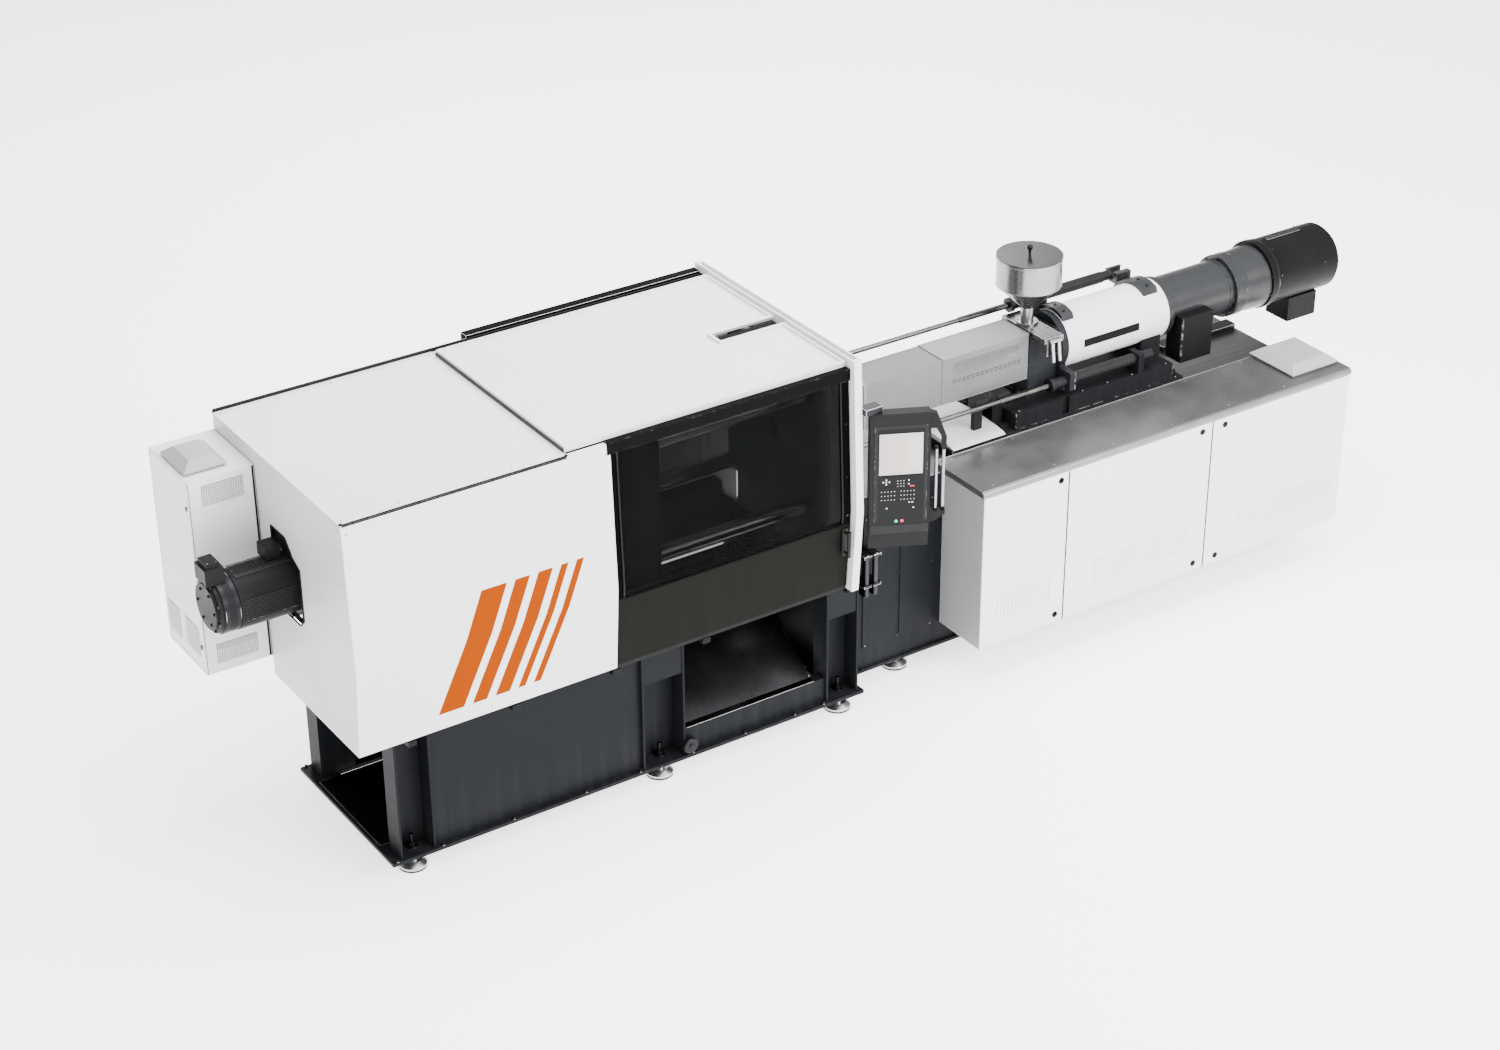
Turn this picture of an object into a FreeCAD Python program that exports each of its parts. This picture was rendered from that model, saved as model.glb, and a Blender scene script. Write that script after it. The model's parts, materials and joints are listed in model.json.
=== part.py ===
import FreeCAD, Part
import math
import os

V = FreeCAD.Vector

# Driving dimensions, mm. X runs from the clamp end to the injection end, Y = 0 is the machine's
# centre plane (operator side is -Y), Z = 0 is the floor.
BASE_L = 2895.0            # clamp base length
BASE_W = 1050.0            # clamp base width
FLANGE_Z = 100.0           # underside of the base flange
FLANGE_T = 20.0
INJ_END = 6080.0           # far end of the injection base
INJ_W = 670.0
INJ_TOP = 1190.0
GUARD_X0 = -209.0          # outer face of the clamp-end cover
GUARD_Z0 = 925.0
GUARD_TOP = 2200.0
BEND_Z = 1400.0            # height of the bend in the front sheets
FRONT_EDGE = -683.0        # front sheets at top and bottom
FRONT_BEND = -720.0        # front sheets at the bend
REAR_Y = 697.0
SHEET = 3.0                # guard sheet thickness
DOOR_X0 = 1242.0           # edge of the fixed front panel
DOOR_X1 = 2658.0
DOOR_T = 28.0
FRAME_X0 = 2665.0          # white end frame
FRAME_T = 46.0
AXIS_Z = 1595.0            # clamp and injection axis
PLATEN = 840.0             # platen side
PLATEN_GAP = 960.0         # mould space with the platens as shown
TIE_R = 45.0
TIE_Y = PLATEN / 2 - 90     # tie bars, offset from the axis
STROKE = 350.0             # opening stroke of the moving platen
BARREL_R = 60.0
SCREW_R = 27.5
HOUSING_R = 175.0          # white injection housing
DRIVE_R = 160.0
MOTOR_R = 195.0            # dosing motor
CLAMP_MOTOR_R = 152.0
CAB_X0, CAB_X1 = 3546.0, 6212.0
CAB_SPLITS = (4136.0, 5171.0)
CAB_Z0, CAB_Z1 = 238.0, 1185.0
CAB_Y0 = -701.0
ROD_Y, ROD_Z, ROD_R = 195.0, 172.0, 18.0    # carriage rods, offset from the axis
HOPPER_X = 4360.0
HOPPER_R = 184.0

# Clearances, mm.
RUN = 0.05                 # radial, shaft in bush
GAP = 0.3                  # between faces that pass each other
DOOR_GAP = 6.0             # front door behind the fixed panel


def box(x0, x1, y0, y1, z0, z1):
    return Part.makeBox(x1 - x0, y1 - y0, z1 - z0, V(x0, y0, z0))


def cyl(axis, r, a0, a1, p, q):
    """Cylinder along axis from a0 to a1; p and q are the other two coordinates in X, Y, Z order."""
    base = {"x": V(a0, p, q), "y": V(p, a0, q), "z": V(p, q, a0)}[axis]
    way = {"x": V(1, 0, 0), "y": V(0, 1, 0), "z": V(0, 0, 1)}[axis]
    return Part.makeCylinder(r, a1 - a0, base, way)


def cone_z(r0, r1, z0, z1, x, y):
    return Part.makeCone(r0, r1, z1 - z0, V(x, y, z0), V(0, 0, 1))


def prism_x(points, x0, x1):
    """Closed polygon of (y, z) points, extruded along X."""
    wire = Part.makePolygon([V(x0, y, z) for y, z in points + points[:1]])
    return Part.Face(wire).extrude(V(x1 - x0, 0, 0))


def fuse(shapes):
    return shapes[0].fuse(shapes[1:]).removeSplitter()


def cut(shape, tools):
    for tool in tools:
        shape = shape.cut(tool)
    return shape


def front_y(z):
    """Outer Y of the fixed front sheets at height z."""
    if z > BEND_Z:
        return FRONT_BEND + (FRONT_EDGE - FRONT_BEND) * (z - BEND_Z) / (GUARD_TOP - BEND_Z)
    return FRONT_BEND + (FRONT_EDGE - FRONT_BEND) * (BEND_Z - z) / (BEND_Z - GUARD_Z0)


def front_slab(x0, x1, z0, z1, inset, depth):
    """Slab that follows the bent front, inset from the sheet's outer face."""
    levels = [z0] + ([BEND_Z] if z0 < BEND_Z < z1 else []) + [z1]
    outer = [(front_y(z) + inset, z) for z in levels]
    inner = [(front_y(z) + inset + depth, z) for z in reversed(levels)]
    return prism_x(outer + inner, x0, x1)


def shell(x0, x1, y0, y1, z0, z1, t, open_side):
    """Sheet box with one side left open."""
    lo = [x0 + t, y0 + t, z0 + t]
    hi = [x1 - t, y1 - t, z1 - t]
    side = {"-x": (lo, 0, x0 - t), "-y": (lo, 1, y0 - t), "-z": (lo, 2, z0 - t), "+z": (hi, 2, z1 + t)}
    ends, index, value = side[open_side]
    ends[index] = value
    return box(x0, x1, y0, y1, z0, z1).cut(box(lo[0], hi[0], lo[1], hi[1], lo[2], hi[2]))


nodes = {}

# Clamp base: flange, columns, panels, sills and top beams of one weldment.
half = BASE_W / 2
y_col = half - 20
columns = [(55, 255), (1489, 1751), (2656, 2865)]
web = 12.0
parts = [box(0, BASE_L, s * half if s < 0 else half - 150, s * (half - 150) if s < 0 else half,
             FLANGE_Z, FLANGE_Z + FLANGE_T) for s in (-1, 1)]
parts += [box(x, x + 150, -(half - 150), half - 150, FLANGE_Z, FLANGE_Z + FLANGE_T)
          for x in (0, 1545, BASE_L - 150)]
z_low, z_high = FLANGE_Z + FLANGE_T, GUARD_Z0 - 15
for s in (-1, 1):
    for x0, x1 in columns:
        y0, y1 = sorted((s * y_col, s * (y_col - 125)))
        back = sorted((s * (y_col - 113), s * (y_col - 125)))
        parts += [box(x0, x0 + web, y0, y1, z_low, z_high), box(x1 - web, x1, y0, y1, z_low, z_high),
                  box(x0, x1, back[0], back[1], z_low, z_high)]
        head = 625 if x0 > 100 else 800
        front = sorted((s * (y_col - 6), s * (y_col - 18)))
        parts.append(box(x0, x1, front[0], front[1], head, z_high))
    skin = sorted((s * (y_col - 25), s * (y_col - 33)))
    parts.append(box(columns[0][1], columns[1][0], skin[0], skin[1], z_low, z_high))
    sill = sorted((s * (y_col - 20), s * (y_col - 80)))
    parts.append(box(columns[1][1], columns[2][0], sill[0], sill[1], z_low, z_low + 140))
    beam = sorted((s * (y_col - 20), s * (y_col - 125)))
    parts.append(box(columns[0][0], columns[2][1], beam[0], beam[1], z_high - 90, z_high))
for x0, x1 in ((1551, 1563), (2600, 2612), (2853, 2865)):
    parts.append(box(x0, x1, -(y_col - 125), y_col - 125, z_low, z_high - 90 if x1 != 2612 else 300))
for x0, x1 in ((55, 175), (2690, 2865)):
    parts.append(box(x0, x1, -(y_col - 125), y_col - 125, z_high - 60, z_high))
rail_out = (-676.0, 724.0)      # outriggers under the guard, front and rear
for x0 in (60, 640, 1220, 1760, FRAME_X0):
    for s, y_end in zip((-1, 1), rail_out):
        y0, y1 = sorted((s * (y_col - 20), y_end))
        parts.append(box(x0, x0 + FRAME_T, y0, y1, z_high - 30, z_high))
guide_y = (PLATEN / 2 - 60, PLATEN / 2 + 20)
for s in (-1, 1):
    y0, y1 = sorted((s * guide_y[0], s * guide_y[1]))
    parts.append(box(columns[0][0], 2560, y0, y1, z_high, 1130))
nodes["clamp_base"] = fuse(parts)

# Stainless chute under the mould space, leaning back from the front sill.
lip_z = z_low + 140
chute = [(-484, lip_z), (-484, lip_z + 3), (-440, lip_z + 3), (250, 804), (252, 801), (-438, lip_z)]
nodes["product_chute"] = prism_x(chute, 1772, 2590)

# Levelling feet: pad, stud and nut under every column and along the injection base.
feet = []
for x in (153.0, 1630.0, 2781.0):
    for y in (-431.0, 431.0):
        feet.append((x, y, half - 450))
foot_x = [x for x, _, _ in feet] + [3300.0, 3300.0, 5750.0, 5750.0]
foot_y = [y for _, y, _ in feet] + [-250.0, 250.0] * 2
solids = []
for x, y in zip(foot_x, foot_y):
    pad = fuse([cyl("z", 73.5, 0, 22, x, y), cone_z(73.5, 48, 22, 44, x, y), cyl("z", 26, 44, 56, x, y)])
    solids += [pad, cyl("z", 12, 56, FLANGE_Z, x, y),
               cyl("z", 24, 62, 84, x, y).cut(cyl("z", 12, 60, 90, x, y))]
nodes["levelling_feet"] = Part.Compound(solids)

# Injection base: box of plate, open below, with its own flange and top plate.
inj_y = INJ_W / 2
parts = [shell(BASE_L, INJ_END, -inj_y, inj_y, z_low, INJ_TOP, 12, "-z")]
for s in (-1, 1):
    y0, y1 = sorted((s * (inj_y - 110), s * (inj_y + 20)))
    parts.append(box(BASE_L, INJ_END, y0, y1, FLANGE_Z, z_low))
for x0, x1 in ((3200, 3400), (5650, 5850)):
    parts.append(box(x0, x1, -(inj_y - 110), inj_y - 110, FLANGE_Z, z_low))
nodes["injection_base"] = fuse(parts)

# Clamp guard.
levels = [GUARD_Z0, BEND_Z, GUARD_TOP]
cab_y0, cab_z1 = 248.0, 2115.0
outline = [(front_y(z), z) for z in levels]
outline += [(REAR_Y, GUARD_TOP), (REAR_Y, cab_z1 + 3), (cab_y0 - 8, cab_z1 + 3), (cab_y0 - 8, GUARD_Z0)]
w, low, high, c = 191.0, 1400.0, 1752.0, 45.0
hole = [(-w, low + c), (-w + c, low), (w - c, low), (w, low + c), (w, high - c), (w - c, high), (106, high),
        (106, 1845), (-48, 1845), (-106, 1782), (-106, high + 20), (-w, high - c + 20)]
x_in = GUARD_X0 + SHEET
nodes["end_cover"] = prism_x(outline, GUARD_X0, x_in).cut(prism_x(hole, GUARD_X0 - 1, x_in + 1))
lip = 28.0
nodes["front_panel"] = fuse([
    front_slab(x_in, DOOR_X0, GUARD_Z0, GUARD_TOP, 0, SHEET),
    box(x_in, DOOR_X0, FRONT_EDGE + 1, -668, GUARD_Z0, GUARD_Z0 + SHEET),
    box(x_in, DOOR_X0, FRONT_EDGE + 1, FRONT_EDGE + lip, GUARD_TOP - SHEET, GUARD_TOP)])
nodes["rear_panel"] = fuse([
    box(x_in, 1236, REAR_Y - SHEET, REAR_Y, GUARD_Z0, GUARD_TOP),
    box(x_in, 1236, REAR_Y - lip, REAR_Y, GUARD_TOP - SHEET, GUARD_TOP),
    box(x_in, 1236, REAR_Y - 12, REAR_Y, GUARD_Z0, GUARD_Z0 + SHEET)])
hatch_x0, hatch_x1, hatch_y0, hatch_y1, hatch_top = 1010.0, 2660.0, -645.0, 640.0, GUARD_TOP + 36
cover_top = GUARD_TOP + SHEET
nodes["top_cover"] = fuse([
    box(GUARD_X0, hatch_x0 - 1, FRONT_EDGE + 16, REAR_Y, GUARD_TOP, cover_top),
    box(hatch_x0 - 4, hatch_x0 - 1, hatch_y0, hatch_y1, GUARD_TOP - 60, GUARD_TOP)])
hatch = shell(hatch_x0, hatch_x1, hatch_y0, hatch_y1, cover_top, hatch_top, SHEET, "-z")
slot_x, slot_y = 2270.0, (-90.0, 2.0)
rim, sunk = 16.0, 14.0
pan = box(hatch_x0 + rim, hatch_x1 - rim, hatch_y0 + rim, hatch_y1 - rim, hatch_top - sunk, hatch_top + 1)
pan = pan.cut(box(slot_x - rim, hatch_x1, slot_y[0] - rim, slot_y[1] + rim, hatch_top - sunk - 1,
                  hatch_top + 2))
floor = box(hatch_x0 + 1, hatch_x1 - 1, hatch_y0 + 1, hatch_y1 - 1, hatch_top - sunk - SHEET, hatch_top - 1)
hatch = fuse([hatch, floor]).cut(pan)
nodes["roof_hatch"] = hatch.cut(box(slot_x, hatch_x1 + 1, slot_y[0], slot_y[1], cover_top - 1, hatch_top + 1))
cab_x0, cab_x1, cab_y1, cab_z0 = -556.0, x_in, 698.0, 1031.0
d_x0, d_z0, d_z1 = 1200.0, 935.0, GUARD_TOP - 4
rail_z = GUARD_TOP - 44
# Edge strips, cabinet seals, roof rails and door rails.
parts = [box(GUARD_X0, hatch_x0 - 1, FRONT_EDGE, FRONT_EDGE + 15, GUARD_TOP, GUARD_TOP + 6),
         box(GUARD_X0, x_in, cab_y0 - 8, cab_y0, cab_z0, cab_z1),
         box(GUARD_X0, x_in, cab_y0, REAR_Y, cab_z1, cab_z1 + 3)]
parts += [box(hatch_x0 - 1, FRAME_X0, y0, y1, rail_z, cover_top) for y0, y1 in ((-642, -598), (598, 640))]
parts.append(box(x_in, FRAME_X0, REAR_Y, REAR_Y + 12, GUARD_TOP - 2, GUARD_TOP + 16))
parts += [box(DOOR_X0 - 1260, DOOR_X1, y0, y1, z_high, d_z0 - GAP) for y0, y1 in ((-668, -640), (706, 724))]
rails = Part.Compound(parts)
outer = [(front_y(GUARD_Z0) - 32, z_high)] + [(front_y(z) - 32, z) for z in levels[:2]]
frame_top = GUARD_TOP + 56
outer += [(FRONT_EDGE - 32, frame_top), (775, frame_top), (775, z_high)]
frame = prism_x(outer, FRAME_X0, FRAME_X0 + FRAME_T)
frame = cut(frame, [
    box(FRAME_X0 - 1, FRAME_X0 + FRAME_T - 4, -640, 700, z_high - 1, GUARD_TOP),
    box(FRAME_X0 - 1, FRAME_X0 + FRAME_T + 1, -PLATEN / 2 - 30, PLATEN / 2 + 30, z_high - 1,
        AXIS_Z + PLATEN / 2 + 20),
    box(FRAME_X0 + 9, FRAME_X0 + FRAME_T - 9, -690, 750, frame_top - 30, frame_top + 1)])
nodes["end_frame"] = frame

# Front door: frame, tinted window, lower panel, grab handle.
inset = SHEET + DOOR_GAP
split = 1325.0
opening = front_slab(DOOR_X0 + 32, DOOR_X1 - 46, split + 12, GUARD_TOP - 34, inset - 5, DOOR_T + 20)
nodes["front_door_frame"] = front_slab(d_x0, DOOR_X1, split, d_z1, inset, DOOR_T).cut(opening)
nodes["front_door_window"] = front_slab(DOOR_X0 + 32, DOOR_X1 - 46, split + 12, GUARD_TOP - 34, inset + 2, 8)
lower = front_slab(d_x0, DOOR_X1, d_z0, split, inset, DOOR_T)
lower = lower.cut(front_slab(d_x0 + 25, DOOR_X1 - 25, d_z0 + 25, split - 25, inset + 3, DOOR_T))
hx, hz0, hz1 = 2622.0, 1150.0, 1300.0
bar_y = front_y(hz1) + inset - 44
handle = fuse([cyl("z", 9, hz0, hz1, hx, bar_y)] +
              [cyl("y", 7, bar_y, front_y(z) + inset + 2, hx, z) for z in (hz0 + 15, hz1 - 15)]).cut(lower)
nodes["front_door_panel"] = Part.Compound([lower, handle])

# Rear door hangs outside the rear panel.
nodes["rear_door"] = fuse([
    box(1222, DOOR_X1, REAR_Y + 12 + GAP, REAR_Y + 15, d_z0, GUARD_TOP - 6),
    box(1222, DOOR_X1, REAR_Y + 14, REAR_Y + 72, GUARD_TOP - 60, GUARD_TOP + 28),
    box(1222, DOOR_X1, REAR_Y + 15, REAR_Y + 40, d_z0, d_z0 + 52),
    box(1222, 1270, REAR_Y + 15, REAR_Y + 40, d_z0 + 52, GUARD_TOP - 60),
    box(DOOR_X1 - 48, DOOR_X1, REAR_Y + 15, REAR_Y + 40, d_z0 + 52, GUARD_TOP - 60)])

# Drive cabinet on the clamp end, with its end door; roof vents of both cabinets.
nodes["drive_cabinet"] = shell(cab_x0, cab_x1, cab_y0, cab_y1, cab_z0, cab_z1, SHEET, "-x")
nodes["drive_cabinet_door"] = box(cab_x0 - SHEET - GAP, cab_x0 - GAP, cab_y0, cab_y1, cab_z0, cab_z1)
vents = []
for x0, x1, y0, y1, z, rise in ((-545, -315, 305, 590, cab_z1, 12), (5845, 6200, -610, -240, 1222, 14)):
    pts = [[V(x0 + d, y0 + d, h), V(x1 - d, y0 + d, h), V(x1 - d, y1 - d, h), V(x0 + d, y1 - d, h)]
           for d, h in ((0, z + rise), (0, z + rise + 6), (52, z + rise + 46))]
    roof = Part.makeLoft([Part.makePolygon(p + p[:1]) for p in pts], True, True)
    vents.append(fuse([roof, box(x0 + 14, x1 - 14, y0 + 14, y1 - 14, z, z + rise)]))
nodes["roof_vents"] = Part.Compound(vents)

tail = (100.0, 300.0)
# Clamp drive: motor body, end cap, junction boxes.
A = AXIS_Z - 20
m0 = -505.0
flats = box(m0 - 1, 60, -146, 146, A - 148, A + 148)
motor = cyl("x", CLAMP_MOTOR_R, m0, -170, 0, A).common(flats)
lantern = cyl("x", 110, -30, tail[0], 0, AXIS_Z).cut(cyl("x", 78, -20, tail[0] + 1, 0, AXIS_Z))
motor = fuse([motor, cyl("x", 60, -170, -25, 0, A), lantern])
cap = fuse([cyl("x", 148, -592, m0, 0, A), cyl("x", 138, -612, -592, 0, A), cyl("x", 120, -628, -612, 0, A)])
jbox = fuse([box(-640, -540, -62, 62, A + 128, A + 225), box(-625, -555, -50, 50, A + 225, A + 250),
             box(-628, -552, -40, 40, A + 100, A + 128)]).cut(cyl("x", 148.3, -645, -530, 0, A))
plug = box(-300, -222, -20, 92, A + 146, A + 215).cut(cyl("x", 154, -305, -200, 0, A))
nodes["clamp_motor"] = Part.Compound([motor, cap, jbox, plug])

# Clamp mechanism.
P = PLATEN / 2
z0, z1 = AXIS_Z - P, AXIS_Z + P
fixed = (2640.0, 2890.0)
mov = (fixed[0] - PLATEN_GAP - 240, fixed[0] - PLATEN_GAP)
ties = [(sy * TIE_Y, AXIS_Z + sz * TIE_Y) for sy in (-1, 1) for sz in (-1, 1)]
screw_r = 40.0
foot_top = 1165.0
guide_x = (60.0, 1970.0)
shoe_y = P - 20


def platen(x0, x1, y_half, bore, tie_bore, extra=()):
    body = fuse([box(x0, x1, -y_half, y_half, z0, z1)] + list(extra))
    tools = [cyl("x", bore, x0 - 1, x1 + 1, 0, AXIS_Z)] if bore else []
    tools += [cyl("x", tie_bore, x0 - 1, x1 + 1, y, z) for y, z in ties]
    return cut(body, tools)


tail_foot = [box(tail[0], tail[1], s * shoe_y - 40, s * shoe_y + 40, foot_top, z0 + 5) for s in (-1, 1)]
nodes["tail_platen"] = platen(tail[0], tail[1], P, screw_r + RUN, TIE_R, tail_foot)
ribs = [box(fixed[0] + 60, fixed[1] - 40, -P, P, z_high, z0 + 5)]
frontside = platen(fixed[0], fixed[1], P, 0, TIE_R, ribs)
frontside = cut(frontside, [cyl("x", 62.5, fixed[0] - 1, fixed[0] + 20, 0, AXIS_Z),
                            Part.makeCone(50, 110, fixed[1] - fixed[0] - 19, V(fixed[0] + 20, 0, AXIS_Z),
                                          V(1, 0, 0))])
bolt_y, bolt_z = 140.0, 210.0
holes = [cyl("x", 7, fixed[0] - 1, fixed[0] + 40, sy * bolt_y, AXIS_Z + sz * bolt_z)
         for sy in (-1, 1) for sz in (-1, 1)]
nodes["fixed_platen"] = cut(frontside, holes)
mov_foot = [box(mov[0], mov[1], s * shoe_y - 38, s * shoe_y + 38, foot_top + GAP, z0 + 5) for s in (-1, 1)]
moving = platen(mov[0], mov[1], P, 0, TIE_R + RUN, mov_foot)
eject_r = 25.0
holes = [cyl("x", 7, mov[1] - 40, mov[1] + 1, sy * bolt_y, AXIS_Z + sz * bolt_z)
         for sy in (-1, 1) for sz in (-1, 1)]
nodes["moving_platen"] = cut(moving, holes + [cyl("x", eject_r + RUN, mov[0] - 1, mov[1] + 1, 0, AXIS_Z)])
bars = []
for y, z in ties:
    bars.append(fuse([cyl("x", TIE_R, tail[0] - 60, fixed[1] + 55, y, z),
                      cyl("x", TIE_R + 30, tail[0] - 50, tail[0], y, z),
                      cyl("x", TIE_R + 30, fixed[1], fixed[1] + 48, y, z)]))
nodes["tie_bars"] = Part.Compound(bars)
cross = (tail[1] + STROKE + 100, tail[1] + STROKE + 180)
cross_half = TIE_Y - 90
push = cross_half - 50
columns_yz = [(sy * push, AXIS_Z + sz * push) for sy in (-1, 1) for sz in (-1, 1)]
parts = [box(cross[0], cross[1], -cross_half, cross_half, AXIS_Z - cross_half, AXIS_Z + cross_half)]
parts += [cyl("x", 38, cross[1] - 5, mov[0], y, z) for y, z in columns_yz]
nodes["crosshead"] = fuse(parts).cut(cyl("x", screw_r + RUN, cross[0] - 1, cross[1] + 1, 0, AXIS_Z))
nodes["ball_screw"] = fuse([cyl("x", screw_r, 20, cross[1] + 40, 0, AXIS_Z), cyl("x", 75, 20, 80, 0, AXIS_Z)])
strips = [box(guide_x[0], guide_x[1], s * shoe_y - 32, s * shoe_y + 32, 1130, foot_top) for s in (-1, 1)]
nodes["guard_rails"] = Part.Compound([rails] + strips)
nodes["ejector"] = fuse([box(mov[0] - 150, mov[0] - 110, 40 - push, push - 40, AXIS_Z - 110, AXIS_Z + 110),
                         cyl("x", eject_r, mov[0] - 115, mov[1] - 2, 0, AXIS_Z)])

# Operator panel in its own frame (u, v, z), then turned towards the mould and set in place.
hmi_turn = -26.4
hmi_at = V(2737, -765, 0)
pin_u, pin_v, pin_r = 35.0, 44.0, 12.0


def hmi_place(shape):
    shape = shape.copy()
    shape.rotate(V(0, 0, 0), V(0, 0, 1), hmi_turn)
    shape.translate(hmi_at)
    return shape


profile = [(0, 1253), (0, 1925), (14, 1945), (80, 1945), (80, 1160), (26, 1160), (16, 1253)]
body = prism_x(profile, 0, 315)
tri = [(315, 1945), (352, 1930), (400, 1800), (400, 1722), (378, 1722), (378, 1790), (345, 1850), (315, 1850)]
wing = Part.Face(Part.makePolygon([V(u, 14, z) for u, z in tri + tri[:1]])).extrude(V(0, 42, 0))
foot = [(315, 1395), (332, 1362), (386, 1362), (400, 1372), (400, 1345), (340, 1305), (315, 1300)]
wing2 = Part.Face(Part.makePolygon([V(u, 14, z) for u, z in foot + foot[:1]])).extrude(V(0, 42, 0))
s_u, s_z = (47.0, 276.0), (1600.0, 1839.0)
btn_u, btn_z, btn_r = (140.0, 171.0), 1329.0, 9.0
tools = [box(s_u[0], s_u[1], -1, 4, s_z[0], s_z[1]), cyl("z", pin_r + RUN, 1900, 1950, pin_u, pin_v)]
tools += [cyl("y", btn_r + 0.25, -1, 9, u, btn_z) for u in btn_u]
grips = [cyl("z", 8, 1355, 1735, u, 35) for u in (352, 389)]
nodes["hmi_housing"] = hmi_place(Part.Compound(
    [cut(fuse([body, wing, wing2]), tools)] + [g.cut(wing).cut(wing2) for g in grips]))
nodes["hmi_screen"] = hmi_place(box(s_u[0], s_u[1], 1, 4, s_z[0], s_z[1]))
for name, u in zip(("hmi_start_button", "hmi_stop_button"), btn_u):
    nodes[name] = hmi_place(cyl("y", btn_r, -4, 4.5, u, btn_z))
pin = hmi_place(cyl("z", pin_r, 1905, 1960, pin_u, pin_v))
c = pin.BoundBox.Center
nodes["hmi_arm"] = fuse([pin, box(FRAME_X0 + FRAME_T, c.x + 28, c.y - 20, c.y + 50, 1948, 1985)])

# Electrical cabinet: body with two mullions, three doors, six quarter-turn locks, top sheet.
cab_back = -inj_y
body = shell(CAB_X0, CAB_X1, CAB_Y0 + SHEET, cab_back, CAB_Z0, CAB_Z1, SHEET, "-y")
mullions = [box(x - 30, x + 30, CAB_Y0 + SHEET + 14, CAB_Y0 + SHEET + 17, CAB_Z0 + 1, CAB_Z1 - 1)
            for x in CAB_SPLITS]
nodes["electrical_cabinet"] = fuse([body] + mullions)
edges = (CAB_X0,) + CAB_SPLITS + (CAB_X1,)
locks = ((4076, 4076), (5092, 5092), (5260, 5260))
lock_z = (289.0, 1139.0)
lock_r = 13.5
for i in range(3):
    x0, x1 = edges[i] + 2, edges[i + 1] - 2
    door = box(x0, x1, CAB_Y0, CAB_Y0 + SHEET - GAP, CAB_Z0 + 2, CAB_Z1 - 2)
    for j, z in enumerate(lock_z):
        x = locks[i][j]
        door = door.cut(cyl("y", 9 + RUN, CAB_Y0 - 1, CAB_Y0 + SHEET + 1, x, z))
        lock = fuse([cyl("y", lock_r, CAB_Y0 - 5, CAB_Y0 - GAP, x, z),
                     cyl("y", 9, CAB_Y0 - 1, CAB_Y0 + 9, x, z)])
        lock = lock.cut(box(x - 8, x + 8, CAB_Y0 - 6, CAB_Y0 - 3, z - 1.5, z + 1.5))
        nodes["lock_%d_%s" % (i + 1, ("low", "high")[j])] = lock
    nodes["cabinet_door_%d" % (i + 1)] = door
top = box(CAB_X0 - 4, CAB_X1 + 13, CAB_Y0, -255, CAB_Z1, 1222)
top = top.cut(box(CAB_X0 - 5, CAB_X1 + 14, -inj_y - GAP, -250, CAB_Z1 - 1, INJ_TOP + 0.5))
edge = [e for e in top.Edges
        if e.Length > 2000 and abs(e.BoundBox.YMin - CAB_Y0) < 1 and e.BoundBox.ZMin > 1200]
nodes["cabinet_top"] = top.makeFillet(26, edge)

# Purge guard: fixed hood at the platen, sliding hood over the barrel end; tray below.
g_y, g_z0, g_z1 = 113.0, 1463.0, 1735.0
parts = [box(fixed[1] + 56, 3727, -g_y, g_y, g_z1 - SHEET, g_z1)]
parts += [box(fixed[1] + 56, 3727, y0, y1, g_z0, g_z1)
          for y0, y1 in ((-g_y, SHEET - g_y), (g_y - SHEET, g_y))]
parts.append(box(fixed[1], fixed[1] + 60, -g_y, -g_y + 20, g_z0, g_z0 + 60))
parts.append(box(fixed[1], fixed[1] + 60, g_y - 20, g_y, g_z0, g_z0 + 60))
nodes["purge_guard"] = fuse(parts)
o = SHEET + GAP
h0, h1 = 3729.0, 4284.0
nodes["purge_hood"] = fuse([
    box(h0 - 40, h1, -g_y - o, g_y + o, g_z1 + GAP, g_z1 + o),
    box(h0 - 40, h1, -g_y - o, -g_y - GAP, g_z0, g_z1 + GAP),
    box(h0 - 40, h1, g_y + GAP, g_y + o, g_z0, g_z1 + GAP)])
arc = [(248 * math.cos(t), 1240 + 28 * math.sin(t)) for t in [math.pi * k / 12 for k in range(13)]]
nodes["purge_tray"] = prism_x(arc, 3680, 4040)

# Injection unit. The slide bed stands on the base; everything on the carriage moves together.
bed = [box(3670, 5330, -250, 250, INJ_TOP, 1240)]
bed += [box(4060, 5320, s * 170 - 22.5, s * 170 + 22.5, 1240, 1262) for s in (-1, 1)]
nodes["slide_bed"] = fuse(bed)
body = fuse([box(4110, 5250, -248, 248, 1262 + GAP, 1340), box(4110, 5250, -248, -198, 1243, 1263),
             box(4110, 5250, 198, 248, 1243, 1263)])
body = body.cut(box(4440, 4490, -249, -222, 1242, 1341)).cut(box(4440, 4490, 222, 249, 1242, 1341))
cradle = box(5090, 5235, -140, 140, 1340, 1520).cut(cyl("x", HOUSING_R, 5080, 5240, 0, AXIS_Z))
rods = [(-ROD_Y, AXIS_Z - ROD_Z), (ROD_Y, AXIS_Z + ROD_Z)]
cyl_x = (4376.0, 5050.0)
cyl_r = 33.0
block = box(4990, 5030, -245, -150, 1340, rods[0][1] + 40)
block = cut(block, [cyl("x", cyl_r, 4980, 5040, *rods[0]), cyl("x", HOUSING_R, 4980, 5040, 0, AXIS_Z)])
nodes["carriage"] = fuse([body, cradle, block])
throat = (4292.0, 4510.0)
holder = fuse([box(throat[0], throat[1], -116, 116, 1340, 1718),
               cyl("x", HOUSING_R - 7, throat[1] - 20, 4531, 0, AXIS_Z),
               box(throat[1] - 20, 4531, -150, 150, 1340, 1500)])
wings = [box(throat[1] - 20, 4531, -245, -100, rods[0][1] - 46, rods[0][1] + 60),
         box(throat[1] - 20, 4531, 100, 245, rods[1][1] - 60, rods[1][1] + 46)]
holder = fuse([holder] + wings)
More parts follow.
